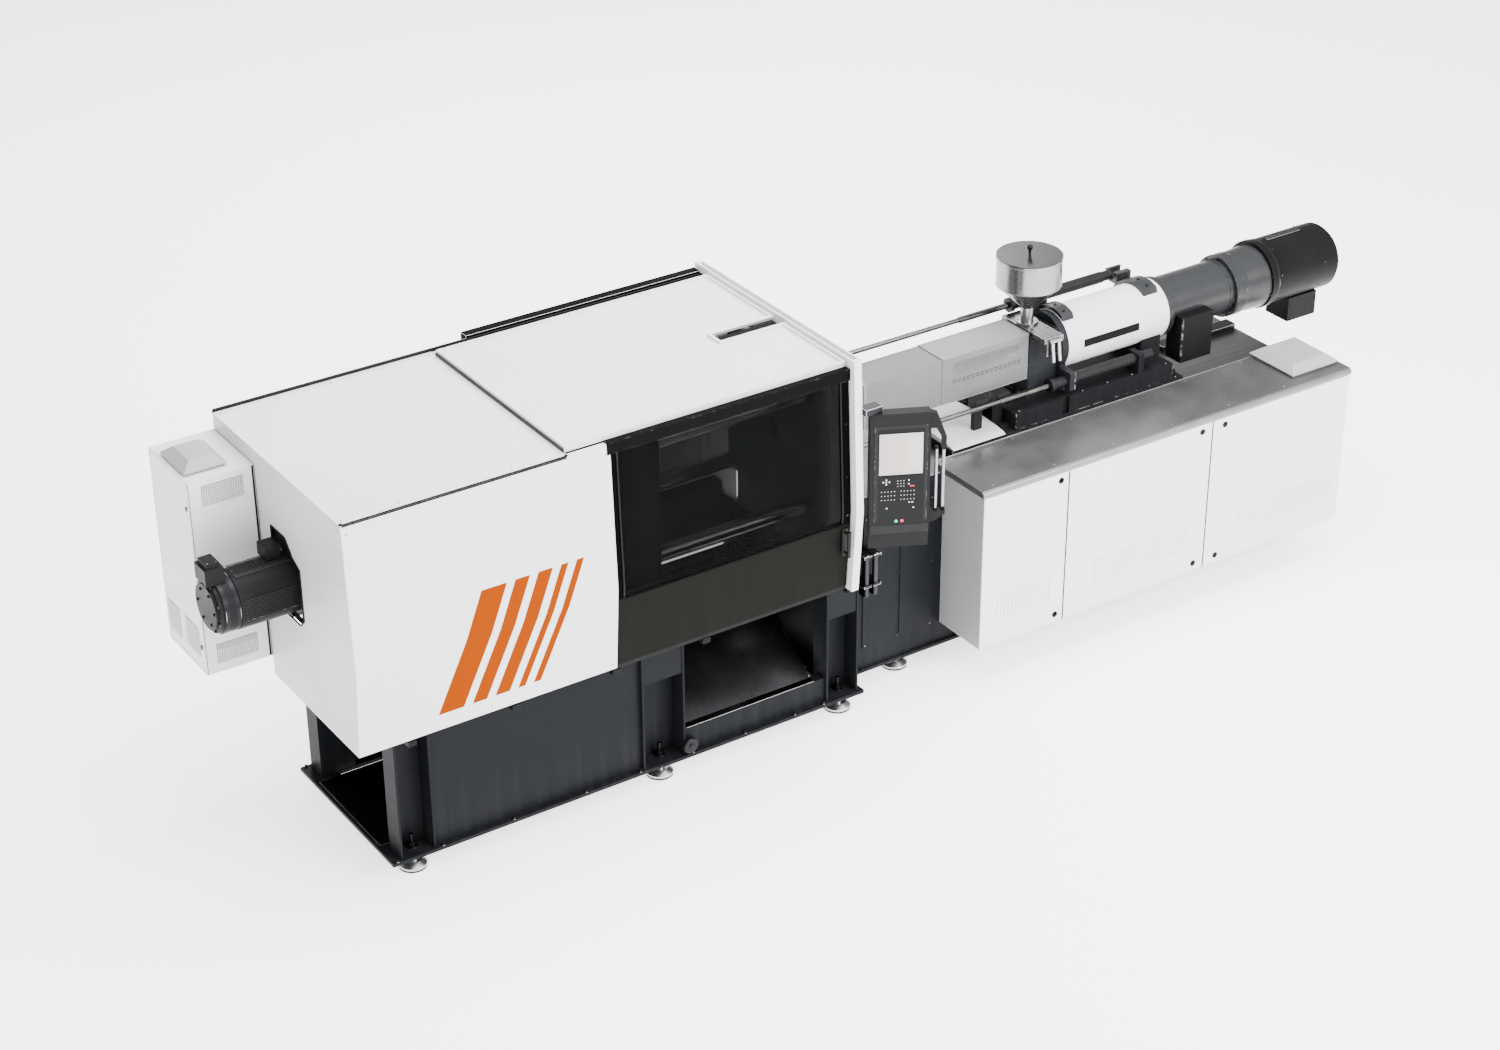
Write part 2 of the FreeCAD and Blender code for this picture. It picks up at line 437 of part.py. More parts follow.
tools = [cyl("x", BARREL_R, throat[0] - 1, 4540, 0, AXIS_Z), cyl("z", 28, AXIS_Z, 1720, HOPPER_X, 0)]
tools += [cyl("x", cyl_r, throat[1] - 30, 4540, y, z) for y, z in rods]
nodes["barrel_holder"] = cut(holder, tools)
tip = 2700.0
barrel = fuse([cyl("x", BARREL_R, 2960, 4531, 0, AXIS_Z), cyl("x", 42, 2860, 2960, 0, AXIS_Z),
               Part.makeCone(16, 42, 60, V(2800, 0, AXIS_Z), V(1, 0, 0)), cyl("x", 16, tip, 2802, 0, AXIS_Z)]
              + [cyl("x", BARREL_R + 16, x, x + 200, 0, AXIS_Z) for x in range(2990, 4190, 240)])
barrel = cut(barrel, [cyl("x", SCREW_R + 0.1, 2890, 4540, 0, AXIS_Z), cyl("x", 4, tip - 1, 2895, 0, AXIS_Z),
                      cyl("z", 28, AXIS_Z, AXIS_Z + BARREL_R + 10, HOPPER_X, 0)])
nodes["barrel"] = barrel
flights = [cyl("x", SCREW_R, 3130 + 55 * k, 3140 + 55 * k, 0, AXIS_Z) for k in range(24)]
nodes["screw"] = fuse([cyl("x", 19, 3110, 4560, 0, AXIS_Z), cyl("x", SCREW_R, 4480, 5310, 0, AXIS_Z),
                       Part.makeCone(4, 19, 40, V(3070, 0, AXIS_Z), V(1, 0, 0)),
                       cyl("x", 45, 5041, 5060, 0, AXIS_Z)] + flights)
hs_x0, hs_x1 = 4531.0, 5264.0
nodes["screw_carrier"] = cyl("x", HOUSING_R - 12, 4960, 5040, 0, AXIS_Z).cut(
    cyl("x", SCREW_R + RUN, 4950, 5050, 0, AXIS_Z))
housing = cyl("x", HOUSING_R, hs_x0, hs_x1, 0, AXIS_Z)
housing = housing.cut(cyl("x", HOUSING_R - 5, hs_x0 - 1, hs_x1 + 1, 0, AXIS_Z))
nodes["injection_housing"] = housing.cut(box(4638, 5041, -HOUSING_R - 25, 55 - HOUSING_R, 1577, 1626))
straps = []
for x0, x1, side in ((4520, 4615, 0), (5120, 5226, 1)):
    x0 = max(x0, hs_x0 + 1)
    ring = cyl("x", HOUSING_R + 22, x0, x1, 0, AXIS_Z).cut(cyl("x", HOUSING_R, x0 - 1, x1 + 1, 0, AXIS_Z))
    top = ring.common(prism_x([(-110, AXIS_Z + 120), (-60, AXIS_Z + 260), (260, AXIS_Z + 260),
                               (235, AXIS_Z + 90)], x0, x1))
    arm = box(x0, x1, ROD_Y - 60, ROD_Y + 45, AXIS_Z + ROD_Z - 45, AXIS_Z + ROD_Z + 22)
    arm = arm.cut(cyl("x", HOUSING_R, x0 - 1, x1 + 1, 0, AXIS_Z))
    straps.append(fuse([top, arm]).cut(cyl("x", cyl_r, x0 - 1, x1 + 1, rods[1][0], rods[1][1])))
nodes["saddle_clamps"] = Part.Compound(straps)
drive = fuse([cyl("x", DRIVE_R, hs_x1, 5770, 0, AXIS_Z), cyl("x", 185, 5770, 5862, 0, AXIS_Z),
              Part.makeCone(180, 190, 170, V(5862, 0, AXIS_Z), V(1, 0, 0)),
              cyl("x", HOUSING_R + 1, hs_x1, 5300, 0, AXIS_Z)])
drive = cut(drive, [cyl("x", SCREW_R + 0.1, hs_x1 - 1, 5500, 0, AXIS_Z)])
nodes["drive_housing"] = drive
zm = AXIS_Z + 8
motor = fuse([cyl("x", MOTOR_R + 8, 6032, 6075, 0, zm), cyl("x", MOTOR_R, 6075, 6545, 0, zm),
              cyl("x", MOTOR_R - 18, 6545, 6568, 0, zm),
              box(6130, 6405, -18, 18, zm + MOTOR_R - 12, zm + MOTOR_R + 3)])
mbox = box(6240, 6460, -125, 60, 1290, 1440).cut(cyl("x", MOTOR_R, 6200, 6500, 0, zm))
sbox = box(5320, 5550, -228, -96, 1312, 1592).cut(cyl("x", DRIVE_R, 5300, 5600, 0, AXIS_Z))
nodes["dosing_motor"] = Part.Compound([motor, mbox, sbox])

# Carriage rods and cylinders on the diagonal.
solids = []
for y, z in rods:
    solids.append(fuse([cyl("x", ROD_R - 4, fixed[1], 4040, y, z), cyl("x", ROD_R, 4030, 4800, y, z),
                        cyl("x", ROD_R + 10, fixed[1], fixed[1] + 30, y, z)]))
nodes["guide_rods"] = Part.Compound(solids)
solids = []
for y, z in rods:
    body = fuse([cyl("x", cyl_r, cyl_x[0], cyl_x[1], y, z),
                 cyl("x", cyl_r + 9, cyl_x[0], cyl_x[0] + 26, y, z),
                 cyl("x", cyl_r - 4, cyl_x[1], 5118, y, z)])
    solids.append(body.cut(cyl("x", ROD_R + RUN, cyl_x[0] - 1, 5105, y, z)))
nodes["carriage_cylinders"] = Part.Compound(solids)

# Hopper on its cross slide.
hop_z = 1745.0
neck_z, cone_z0, cyl_z0, lid_z = hop_z + 12, 1841.0, 1984.0, 2156.0
slide = box(HOPPER_X - 65, HOPPER_X + 65, -245, 145, 1718 + GAP, hop_z)
nodes["hopper_slide"] = fuse([
    slide.cut(cyl("z", 28, 1700, 1800, HOPPER_X, 0)),
    box(HOPPER_X - 50, HOPPER_X + 50, -245, -205, 1640, 1719)])
t = 2.5


def hopper_skin(offset):
    r = HOPPER_R - offset
    return fuse([cyl("z", 36 - offset, neck_z, cone_z0, HOPPER_X, 0),
                 cone_z(36 - offset, r, cone_z0, cyl_z0, HOPPER_X, 0),
                 cyl("z", r, cyl_z0, lid_z - 6, HOPPER_X, 0)])


hopper = fuse([hopper_skin(0), cyl("z", 62, hop_z, neck_z, HOPPER_X, 0)]).cut(hopper_skin(t))
nodes["hopper_body"] = hopper.cut(cyl("z", 33.5, hop_z - 1, neck_z + 1, HOPPER_X, 0)).cut(
    cyl("z", HOPPER_R - t, lid_z - 20, lid_z, HOPPER_X, 0))
nodes["hopper_lid"] = fuse([cyl("z", HOPPER_R + 2, lid_z - 5.7, lid_z, HOPPER_X, 0),
                            cyl("z", HOPPER_R - t - 1, lid_z - 14, lid_z - 5.7, HOPPER_X, 0),
                            cyl("z", 6, lid_z, lid_z + 34, HOPPER_X, 0),
                            Part.makeSphere(15, V(HOPPER_X, 0, lid_z + 44))])

# The part's origin is the centre of its footprint, on the floor.
everything = Part.Compound(list(nodes.values())).BoundBox
shift = V(-(everything.XMin + everything.XMax) / 2, -(everything.YMin + everything.YMax) / 2,
          -everything.ZMin)
os.makedirs("parts", exist_ok=True)
for name, shape in nodes.items():
    shape.translate(shift)
    shape.exportStep("parts/%s.step" % name)
print("nodes", len(nodes), "shift", tuple(round(v, 4) for v in shift))
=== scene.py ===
import json
import logging
import math
from contextlib import contextmanager
from dataclasses import dataclass
from enum import Enum
from typing import Callable, Dict, Iterable, Iterator, List, Optional, Protocol, Sequence, Tuple

import bmesh
import bpy
from mathutils import Matrix, Vector


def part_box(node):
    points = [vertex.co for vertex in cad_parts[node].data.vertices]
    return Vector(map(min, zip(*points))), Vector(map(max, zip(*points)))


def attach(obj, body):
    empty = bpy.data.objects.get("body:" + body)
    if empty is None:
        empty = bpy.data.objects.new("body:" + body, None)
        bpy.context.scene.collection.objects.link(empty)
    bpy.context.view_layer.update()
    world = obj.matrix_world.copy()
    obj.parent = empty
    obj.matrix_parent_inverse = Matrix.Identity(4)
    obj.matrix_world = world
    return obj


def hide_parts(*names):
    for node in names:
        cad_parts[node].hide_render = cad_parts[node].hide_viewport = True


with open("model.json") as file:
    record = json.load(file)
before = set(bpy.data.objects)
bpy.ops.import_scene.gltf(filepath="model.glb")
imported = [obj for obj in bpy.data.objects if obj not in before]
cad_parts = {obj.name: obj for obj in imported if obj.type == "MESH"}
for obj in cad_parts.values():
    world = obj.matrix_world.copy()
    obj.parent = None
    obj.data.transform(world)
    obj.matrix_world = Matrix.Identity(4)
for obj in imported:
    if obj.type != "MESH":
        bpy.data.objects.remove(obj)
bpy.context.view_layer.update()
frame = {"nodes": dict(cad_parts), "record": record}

logging.basicConfig(level=logging.INFO, format="%(message)s")
log = logging.getLogger("moulding_machine")

Point = Tuple[float, float, float]
Colour = Tuple[float, float, float]
Span = Tuple[float, float]
Sizes = Tuple[float, ...]
Block = Tuple[Span, Span, Span]
Rings = Sequence[Tuple[float, float]]
Box = Tuple[Vector, Vector]
Places = List[Tuple[Point, Vector]]
Object = bpy.types.Object

BODY_OF: Dict[str, str] = {n: b for b, names in frame["record"]["behaviour"]["bodies"].items() for n in names}
BASE_LOW, BASE_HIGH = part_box("clamp_base")
BED_LOW, BED_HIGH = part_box("injection_base")
ORIGIN = Vector((BASE_LOW.x, (BED_LOW.y + BED_HIGH.y) / 2, 0.0))
AXIS_Z = round((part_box("tie_bars")[0].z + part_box("tie_bars")[1].z) * 500.0, 1)


def at(x: float, y: float, z: float) -> Vector:
    """A point of the machine's own drawing, in millimetres from the clamp end on the centre line.

    Args:
        x: Distance from the clamp end of the base.
        y: Distance to the rear of the clamp axis.
        z: Height above the floor.

    Returns:
        The same point in metres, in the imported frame.
    """
    return Vector((x, y, z)) * 0.001 + ORIGIN


class Axis(Enum):
    """The machine's three directions."""

    X = (1.0, 0.0, 0.0)
    Y = (0.0, 1.0, 0.0)
    Z = (0.0, 0.0, 1.0)

    @property
    def turn(self) -> Matrix:
        """The turn that lays a Z-built piece along this axis."""
        return Vector((0.0, 0.0, 1.0)).rotation_difference(Vector(self.value)).to_matrix().to_4x4()


# ------------------------------------------------------------------ shader building
class Tap:
    """One shader value, with Python's arithmetic adding the Math nodes."""

    def __init__(self, graph: "Graph", socket: bpy.types.NodeSocket) -> None:
        """Wraps an output socket of a graph."""
        self.graph = graph
        self.socket = socket

    def __add__(self, other: "Value") -> "Tap":
        """Sum."""
        return self.graph.maths("ADD", self, other)

    def __sub__(self, other: "Value") -> "Tap":
        """Difference."""
        return self.graph.maths("SUBTRACT", self, other)

    def __rsub__(self, other: "Value") -> "Tap":
        """Difference with the number in front."""
        return self.graph.maths("SUBTRACT", other, self)

    def __mul__(self, other: "Value") -> "Tap":
        """Product."""
        return self.graph.maths("MULTIPLY", self, other)

    def __truediv__(self, other: "Value") -> "Tap":
        """Quotient."""
        return self.graph.maths("DIVIDE", self, other)

    def __gt__(self, other: "Value") -> "Tap":
        """One where this value is the larger, else zero."""
        return self.graph.maths("GREATER_THAN", self, other)

    def __lt__(self, other: "Value") -> "Tap":
        """One where this value is the smaller, else zero."""
        return self.graph.maths("LESS_THAN", self, other)

    def __abs__(self) -> "Tap":
        """Size without sign."""
        return self.graph.maths("ABSOLUTE", self)

    def __mod__(self, other: float) -> "Tap":
        """Distance from the middle of a repeating cell of that width."""
        return self.graph.maths("PINGPONG", self, other / 2)

    __radd__ = __add__
    __rmul__ = __mul__

    def least(self, other: "Value") -> "Tap":
        """The smaller of two values."""
        return self.graph.maths("MINIMUM", self, other)

    def most(self, other: "Value") -> "Tap":
        """The larger of two values."""
        return self.graph.maths("MAXIMUM", self, other)

    def held(self) -> "Tap":
        """The value held between zero and one."""
        return self.most(0.0).least(1.0)

    def ramp(self, low: float, high: float) -> "Tap":
        """Zero below low, one above high, straight between."""
        return ((self - low) / (high - low)).held()


Value = "Tap | float"


class Graph:
    """A material's node tree, with every node made by one method."""

    def __init__(self, name: str) -> None:
        """Starts an empty material of that name.

        Args:
            name: The material's name.
        """
        self.material = bpy.data.materials.new(name)
        self.material.use_nodes = True
        self.tree = self.material.node_tree
        self.tree.nodes.clear()
        self._axes: Dict[str, Tap] = {}

    def make(self, kind: str, settings: Optional[dict] = None,
             inputs: Optional[dict] = None) -> bpy.types.Node:
        """Adds a node.

        Args:
            kind: Node type, without its ShaderNode prefix.
            settings: Properties, set before the sockets; stops sets a ramp's stops.
            inputs: Values or links by socket identifier, name or index.

        Returns:
            The new node.
        """
        node = self.tree.nodes.new("ShaderNode" + kind)
        for key, value in (settings or {}).items():
            if key == "stops":
                ramp = node.color_ramp
                while len(ramp.elements) < len(value):
                    ramp.elements.new(0.5)
                for element, (place, colour) in zip(ramp.elements, value):
                    element.position, element.color = place, (*colour, 1.0)
            else:
                setattr(node, key, value)
        for key, value in (inputs or {}).items():
            socket = node.inputs[key] if isinstance(key, int) else next(
                (s for s in node.inputs if s.identifier == key), None) or node.inputs[key]
            if isinstance(value, Tap):
                self.tree.links.new(value.socket, socket)
            elif isinstance(value, tuple) and len(value) == 3 and socket.type == "RGBA":
                socket.default_value = (*value, 1.0)
            else:
                socket.default_value = value
        return node

    def tap(self, node: bpy.types.Node, output: str) -> Tap:
        """An output of a node, by identifier or name."""
        found = next((s for s in node.outputs if s.identifier == output), None) or node.outputs[output]
        return Tap(self, found)

    def maths(self, operation: str, *values: "Value") -> Tap:
        """A Math node on one or two values."""
        return self.tap(self.make("Math", {"operation": operation}, dict(enumerate(values))), "Value")

    def place(self) -> Tap:
        """The surface point in the piece's own coordinates, in metres."""
        if "P" not in self._axes:
            self._axes["P"] = self.tap(self.make("TexCoord"), "Object")
        return self._axes["P"]

    def along(self, axis: str) -> Tap:
        """One coordinate of the surface point.

        Args:
            axis: "X", "Y" or "Z".

        Returns:
            That coordinate, in metres.
        """
        if axis not in self._axes:
            split = self.make("SeparateXYZ", None, {0: self.place()})
            for name in "XYZ":
                self._axes[name] = self.tap(split, name)
        return self._axes[axis]

    def noise(self, scale: float, detail: float = 2.0, stretch: Point = (1.0, 1.0, 1.0)) -> Tap:
        """Smooth noise about one half.

        Args:
            scale: Cells per metre.
            detail: Octaves.
            stretch: Scale along each axis, for grain that runs one way.

        Returns:
            The noise value.
        """
        vector = self.place()
        if stretch != (1.0, 1.0, 1.0):
            drawn_out = self.make("VectorMath", {"operation": "MULTIPLY"}, {0: vector, 1: stretch})
            vector = self.tap(drawn_out, "Vector")
        cells = self.make("TexNoise", None, {"Vector": vector, "Scale": scale, "Detail": detail})
        return self.tap(cells, "Fac")

    def mix(self, share: "Value", first: "Tap | Colour", second: "Tap | Colour") -> Tap:
        """A colour between two others.

        Args:
            share: Share of the second colour.
            first: Colour at zero.
            second: Colour at one.

        Returns:
            The colour between them.
        """
        node = self.make("Mix", {"data_type": "RGBA"},
                         {"Factor_Float": share, "A_Color": first, "B_Color": second})
        return self.tap(node, "Result_Color")

    def edges(self, box: Tuple[Vector, Vector], width: float) -> Tap:
        """One along the outer edges of a box, falling to zero at a width inside them.

        Args:
            box: Low and high corner, in metres.
            width: Width of the band, in metres.

        Returns:
            One on an edge, zero away from it.
        """
        near = []
        for axis, low, high in zip("XYZ", *box):
            here = self.along(axis)
            gap = abs((here - low).least(high - here))
            near.append((1.0 - gap / width).held())
        x, y, z = near
        return (x * y).most(y * z).most(x * z)

    def bump(self, height: Tap, depth: float) -> Tap:
        """A normal from a height between zero and one, that many metres deep."""
        node = self.make("Bump", None, {"Height": height, "Distance": depth, "Strength": 1.0})
        return self.tap(node, "Normal")

    def finish(self, sockets: dict) -> bpy.types.Material:
        """Closes the graph with one principled surface.

        Args:
            sockets: Values or links of the surface, by socket name.

        Returns:
            The finished material.
        """
        shader = self.make("BsdfPrincipled", None, sockets)
        self.make("OutputMaterial", None, {"Surface": self.tap(shader, "BSDF")})
        return self.material


class Surround(Graph):
    """The world's node tree: light that comes mostly from the front and from above."""

    def __init__(self, name: str) -> None:
        """Starts an empty world of that name.

        Args:
            name: The world's name.
        """
        self.world = bpy.data.worlds.new(name)
        self.world.use_nodes = True
        self.tree = self.world.node_tree
        self.tree.nodes.clear()
        self._axes = {"P": self.tap(self.make("TexCoord"), "Generated")}

    def light(self, low: float, high: float) -> bpy.types.World:
        """Closes the tree with a strength between two values.

        Args:
            low: Strength away from the light.
            high: Strength where it is brightest.

        Returns:
            The finished world.
        """
        x, y, z = (self.along(axis) for axis in "XYZ")
        share = (z * 0.75 - y * 0.6 - abs(x) * 0.25).ramp(-0.35, 0.75)
        shade = self.make("Background", None, {"Color": (0.97, 0.985, 1.0),
                                               "Strength": share * (high - low) + low})
        self.make("OutputWorld", None, {"Surface": self.tap(shade, "Background")})
        return self.world


def tint(colour: Colour, share: float) -> Colour:
    """The colour made lighter or darker by a factor."""
    return (colour[0] * share, colour[1] * share, colour[2] * share)


class Finish:
    """A surface finish that can be put on any piece."""

    def build(self, name: str, box: Box) -> bpy.types.Material:
        """Builds the material for a piece that fills a box.

        Args:
            name: The material's name.
            box: Low and high corner of the piece, in metres.

        Returns:
            The material.
        """
        raise NotImplementedError

    def put_on(self, piece: Object, box: Optional[Box] = None) -> Object:
        """Dresses a piece in this finish.

        Args:
            piece: The piece.
            box: The box that wear follows, else the piece's own.

        Returns:
            The same piece.
        """
        if box is None:
            points = [Vector(c) for c in piece.bound_box]
            box = tuple(Vector(tuple(f(p[i] for p in points) for i in range(3))) for f in (min, max))
        material = self.build(piece.name + "_finish", box)
        if piece.data.materials:
            for index in range(len(piece.data.materials)):
                piece.data.materials[index] = material
        else:
            piece.data.materials.append(material)
        return piece


@dataclass(frozen=True)
class PowderCoat(Finish):
    """Sprayed sheet metal: slow change of tone, orange peel, rubbed edges and a little dust."""

    colour: Colour
    rough: float = 0.40
    metal: Colour = (0.42, 0.42, 0.41)
    wear: float = 0.5
    peel: float = 0.00012
    dust: Colour = (0.42, 0.40, 0.36)
    dust_share: float = 0.10
    gloss: float = 0.5

    def build(self, name: str, box: Box) -> bpy.types.Material:
        """Builds the paint for a piece that fills a box.

        Args:
            name: The material's name.
            box: Low and high corner of the piece, in metres.

        Returns:
            The material.
        """
        g = Graph(name)
        cloud = g.noise(1.3, 4.0)
        blotch = g.noise(14.0, 3.0)
        peel = g.noise(620.0, 1.0)
        streak = g.noise(22.0, 2.0, (1.0, 1.0, 0.06))
        tone = g.mix(cloud.ramp(0.3, 0.7), tint(self.colour, 0.955), tint(self.colour, 1.02))
        chip = g.edges(box, 0.007) * (g.noise(38.0, 5.0).ramp(0.52, 0.64)) * self.wear
        rubbed = g.edges(box, 0.028) * blotch.ramp(0.40, 0.72) * self.wear
        low = 1.0 - ((g.along("Z") - box[0].z) / 0.35).held()
        dusty = (low * streak.ramp(0.35, 0.75) + streak.ramp(0.62, 0.9) * 0.35) * self.dust_share
        colour = g.mix(dusty, tone, self.dust)
        colour = g.mix(rubbed * 0.35, colour, tint(self.colour, 0.72) if max(self.colour) > 0.3
                       else tint(self.colour, 2.1))
        colour = g.mix(chip, colour, self.metal)
        rough = (blotch - 0.5) * 0.16 + self.rough + dusty * 0.5 - rubbed * 0.08
        return g.finish({"Base Color": colour, "Roughness": rough.held(), "Metallic": chip * 0.8,
                         "Normal": g.bump(peel * 0.6 + g.noise(60.0, 1.0) * 0.4 - chip, self.peel),
                         "Specular IOR Level": self.gloss})


@dataclass(frozen=True)
class Brushed(Finish):
    """Bare steel with its grain along one axis, and a painted highlight along its edges."""

    colour: Colour = (0.60, 0.61, 0.62)
    rough: float = 0.30
    grain: Axis = Axis.X
    smears: float = 0.5

    def build(self, name: str, box: Box) -> bpy.types.Material:
        """Builds the metal for a piece that fills a box.

        Args:
            name: The material's name.
            box: Low and high corner of the piece, in metres.

        Returns:
            The material.
        """
        g = Graph(name)
        stretch = tuple(0.02 if v else 1.0 for v in self.grain.value)
        fine = g.noise(900.0, 2.0, stretch)
        broad = g.noise(70.0, 3.0, stretch)
        smear = g.noise(3.5, 4.0)
        tone = g.mix(broad.ramp(0.3, 0.7), tint(self.colour, 0.80), tint(self.colour, 1.08))
        tone = g.mix(smear.ramp(0.5, 0.8) * self.smears * 0.5, tone, tint(self.colour, 0.55))
        # painted highlight: a pale glint along the edges
        painted_edge_glint = g.edges(box, 0.004)
        tone = g.mix(painted_edge_glint * 0.6, tone, (0.82, 0.82, 0.82))
        rough = self.rough + (fine - 0.5) * 0.18 + (smear - 0.5) * 0.3 * self.smears
        return g.finish({"Base Color": tone, "Metallic": 1.0, "Roughness": rough.held(),
                         "Normal": g.bump(fine * 0.7 + broad * 0.3, 0.00006)})


@dataclass(frozen=True)
class Turned(Finish):
    """Ground or turned steel, with fine rings round the long axis and an oil film."""

    colour: Colour = (0.55, 0.56, 0.57)
    rough: float = 0.18
    axis: str = "X"

    def build(self, name: str, box: Box) -> bpy.types.Material:
        """Builds the metal for a piece that fills a box.

        Args:
            name: The material's name.
            box: Low and high corner of the piece, in metres.

        Returns:
            The material.
        """
        g = Graph(name)
        stretch = {"X": (1.0, 0.01, 0.01), "Y": (0.01, 1.0, 0.01), "Z": (0.01, 0.01, 1.0)}[self.axis]
        ring = g.noise(1400.0, 1.0, stretch)
        band = g.noise(24.0, 3.0, stretch)
        oil = g.noise(9.0, 3.0)
        tone = g.mix(band, tint(self.colour, 0.82), tint(self.colour, 1.12))
        tone = g.mix(oil.ramp(0.55, 0.75) * 0.35, tone, (0.20, 0.17, 0.12))
        rough = self.rough + (ring - 0.5) * 0.14 + oil.ramp(0.5, 0.8) * 0.12
        return g.finish({"Base Color": tone, "Metallic": 1.0, "Roughness": rough.held(),
                         "Normal": g.bump(ring, 0.00003)})


@dataclass(frozen=True)
class Casting(Finish):
    """Painted iron casting: sand texture and worn corners."""

    colour: Colour
    rough: float = 0.5
    sand: float = 0.0006

    def build(self, name: str, box: Box) -> bpy.types.Material:
        """Builds the casting for a piece that fills a box.

        Args:
            name: The material's name.
            box: Low and high corner of the piece, in metres.

        Returns:
            The material.
        """
        g = Graph(name)
        sand = g.noise(160.0, 4.0)
        cloud = g.noise(4.0, 4.0)
        wear = g.edges(box, 0.012) * g.noise(30.0, 4.0).ramp(0.45, 0.6)
        tone = g.mix(cloud.ramp(0.3, 0.7), tint(self.colour, 0.78), tint(self.colour, 1.25))
        tone = g.mix(wear * 0.8, tone, (0.36, 0.36, 0.37))
        rough = self.rough + (cloud - 0.5) * 0.3 - wear * 0.12
        return g.finish({"Base Color": tone, "Metallic": wear * 0.9, "Roughness": rough.held(),
                         "Normal": g.bump(sand - wear * 0.6, self.sand), "Specular IOR Level": 0.08})


@dataclass(frozen=True)
class Moulded(Finish):
    """Moulded plastic or rubber with a fine even grain and a painted sheen along its edges."""

    colour: Colour
    rough: float = 0.45
    grain: float = 0.00010
    coat: float = 0.0

    def build(self, name: str, box: Box) -> bpy.types.Material:
        """Builds the plastic for a piece that fills a box.

        Args:
            name: The material's name.
            box: Low and high corner of the piece, in metres.

        Returns:
            The material.
        """
        g = Graph(name)
        grain = g.noise(1300.0, 1.0)
        smear = g.noise(12.0, 3.0)
        # painted highlight: a lighter sheen along the edges, which are also made a little smoother
        painted_edge_sheen = g.edges(box, 0.006)
        tone = g.mix(smear, tint(self.colour, 0.88), tint(self.colour, 1.14))
        tone = g.mix(painted_edge_sheen * 0.4, tone, tint(self.colour, 1.9))
        rough = self.rough + (smear - 0.5) * 0.2 - painted_edge_sheen * 0.1
        return g.finish({"Base Color": tone, "Roughness": rough.held(), "Coat Weight": self.coat,
                         "Coat Roughness": 0.08, "Normal": g.bump(grain, self.grain),
                         "Specular IOR Level": 0.15})


@dataclass(frozen=True)
class TintedPane(Finish):
    """Dark tinted safety glazing with faint wipe marks."""

    colour: Colour = (0.0006, 0.0007, 0.0008)
    cover: float = 0.68

    def build(self, name: str, box: Box) -> bpy.types.Material:
        """Builds the pane for a piece that fills a box.

        Args:
            name: The material's name.
            box: Low and high corner of the piece, in metres.

        Returns:
            The material.
        """
        g = Graph(name)
        wipe = g.noise(6.0, 3.0, (1.0, 1.0, 0.35))
        film = wipe.ramp(0.45, 0.8)
        tone = g.mix(film * 0.4, self.colour, (0.002, 0.002, 0.002))
        return g.finish({"Base Color": tone, "Roughness": (0.12 + film * 0.10).held(), "IOR": 1.5,
                         "Alpha": (self.cover + film * 0.05).held(), "Specular IOR Level": 0.02})


@dataclass(frozen=True)
class Perforated(Finish):
    """Sheet with a close pattern of round holes, in rows along two axes, and a painted highlight along its
    edges.
    """

    colour: Colour
    across: str = "X"
    up: str = "Z"
    pitch: float = 0.012
    hole: float = 0.0038
    metallic: float = 0.0
    rough: float = 0.42
    limits: Tuple[float, float, float, float] = (-99.0, 99.0, -99.0, 99.0)

    def build(self, name: str, box: Box) -> bpy.types.Material:
        """Builds the sheet for a piece that fills a box.

        Args:
            name: The material's name.
            box: Low and high corner of the piece, in metres.

        Returns:
            The material.
        """
        g = Graph(name)
        a, b = g.along(self.across), g.along(self.up)
        rows = []
        for shift in (0.0, 0.5):
            u = (a + self.pitch * shift) % self.pitch
            v = (b + self.pitch * 0.866 * 2 * shift) % (self.pitch * 1.732)
            rows.append(g.maths("SQRT", u * u + v * v))
        low_a, high_a, low_b, high_b = self.limits
        inside = (a > low_a) * (a < high_a) * (b > low_b) * (b < high_b)
        hole = (1.0 - rows[0].least(rows[1]).ramp(self.hole * 0.85, self.hole)) * inside
        cloud = g.noise(5.0, 4.0)
        grain = g.noise(500.0, 2.0, (0.03, 1.0, 1.0))
        tone = g.mix(cloud.ramp(0.3, 0.7), tint(self.colour, 0.88), tint(self.colour, 1.06))
        # painted highlight: the edges are lightened
        tone = g.mix(g.edges(box, 0.006) * 0.5, tone, tint(self.colour, 1.35))
        tone = g.mix(hole, tone, (0.012, 0.012, 0.013))
        rough = self.rough + (cloud - 0.5) * 0.25 + hole * 0.4 + (grain - 0.5) * 0.1
        return g.finish({"Base Color": tone, "Roughness": rough.held(),
                         "Metallic": (1.0 - hole) * self.metallic,
                         "Normal": g.bump(grain * 0.08 - hole, 0.0008)})


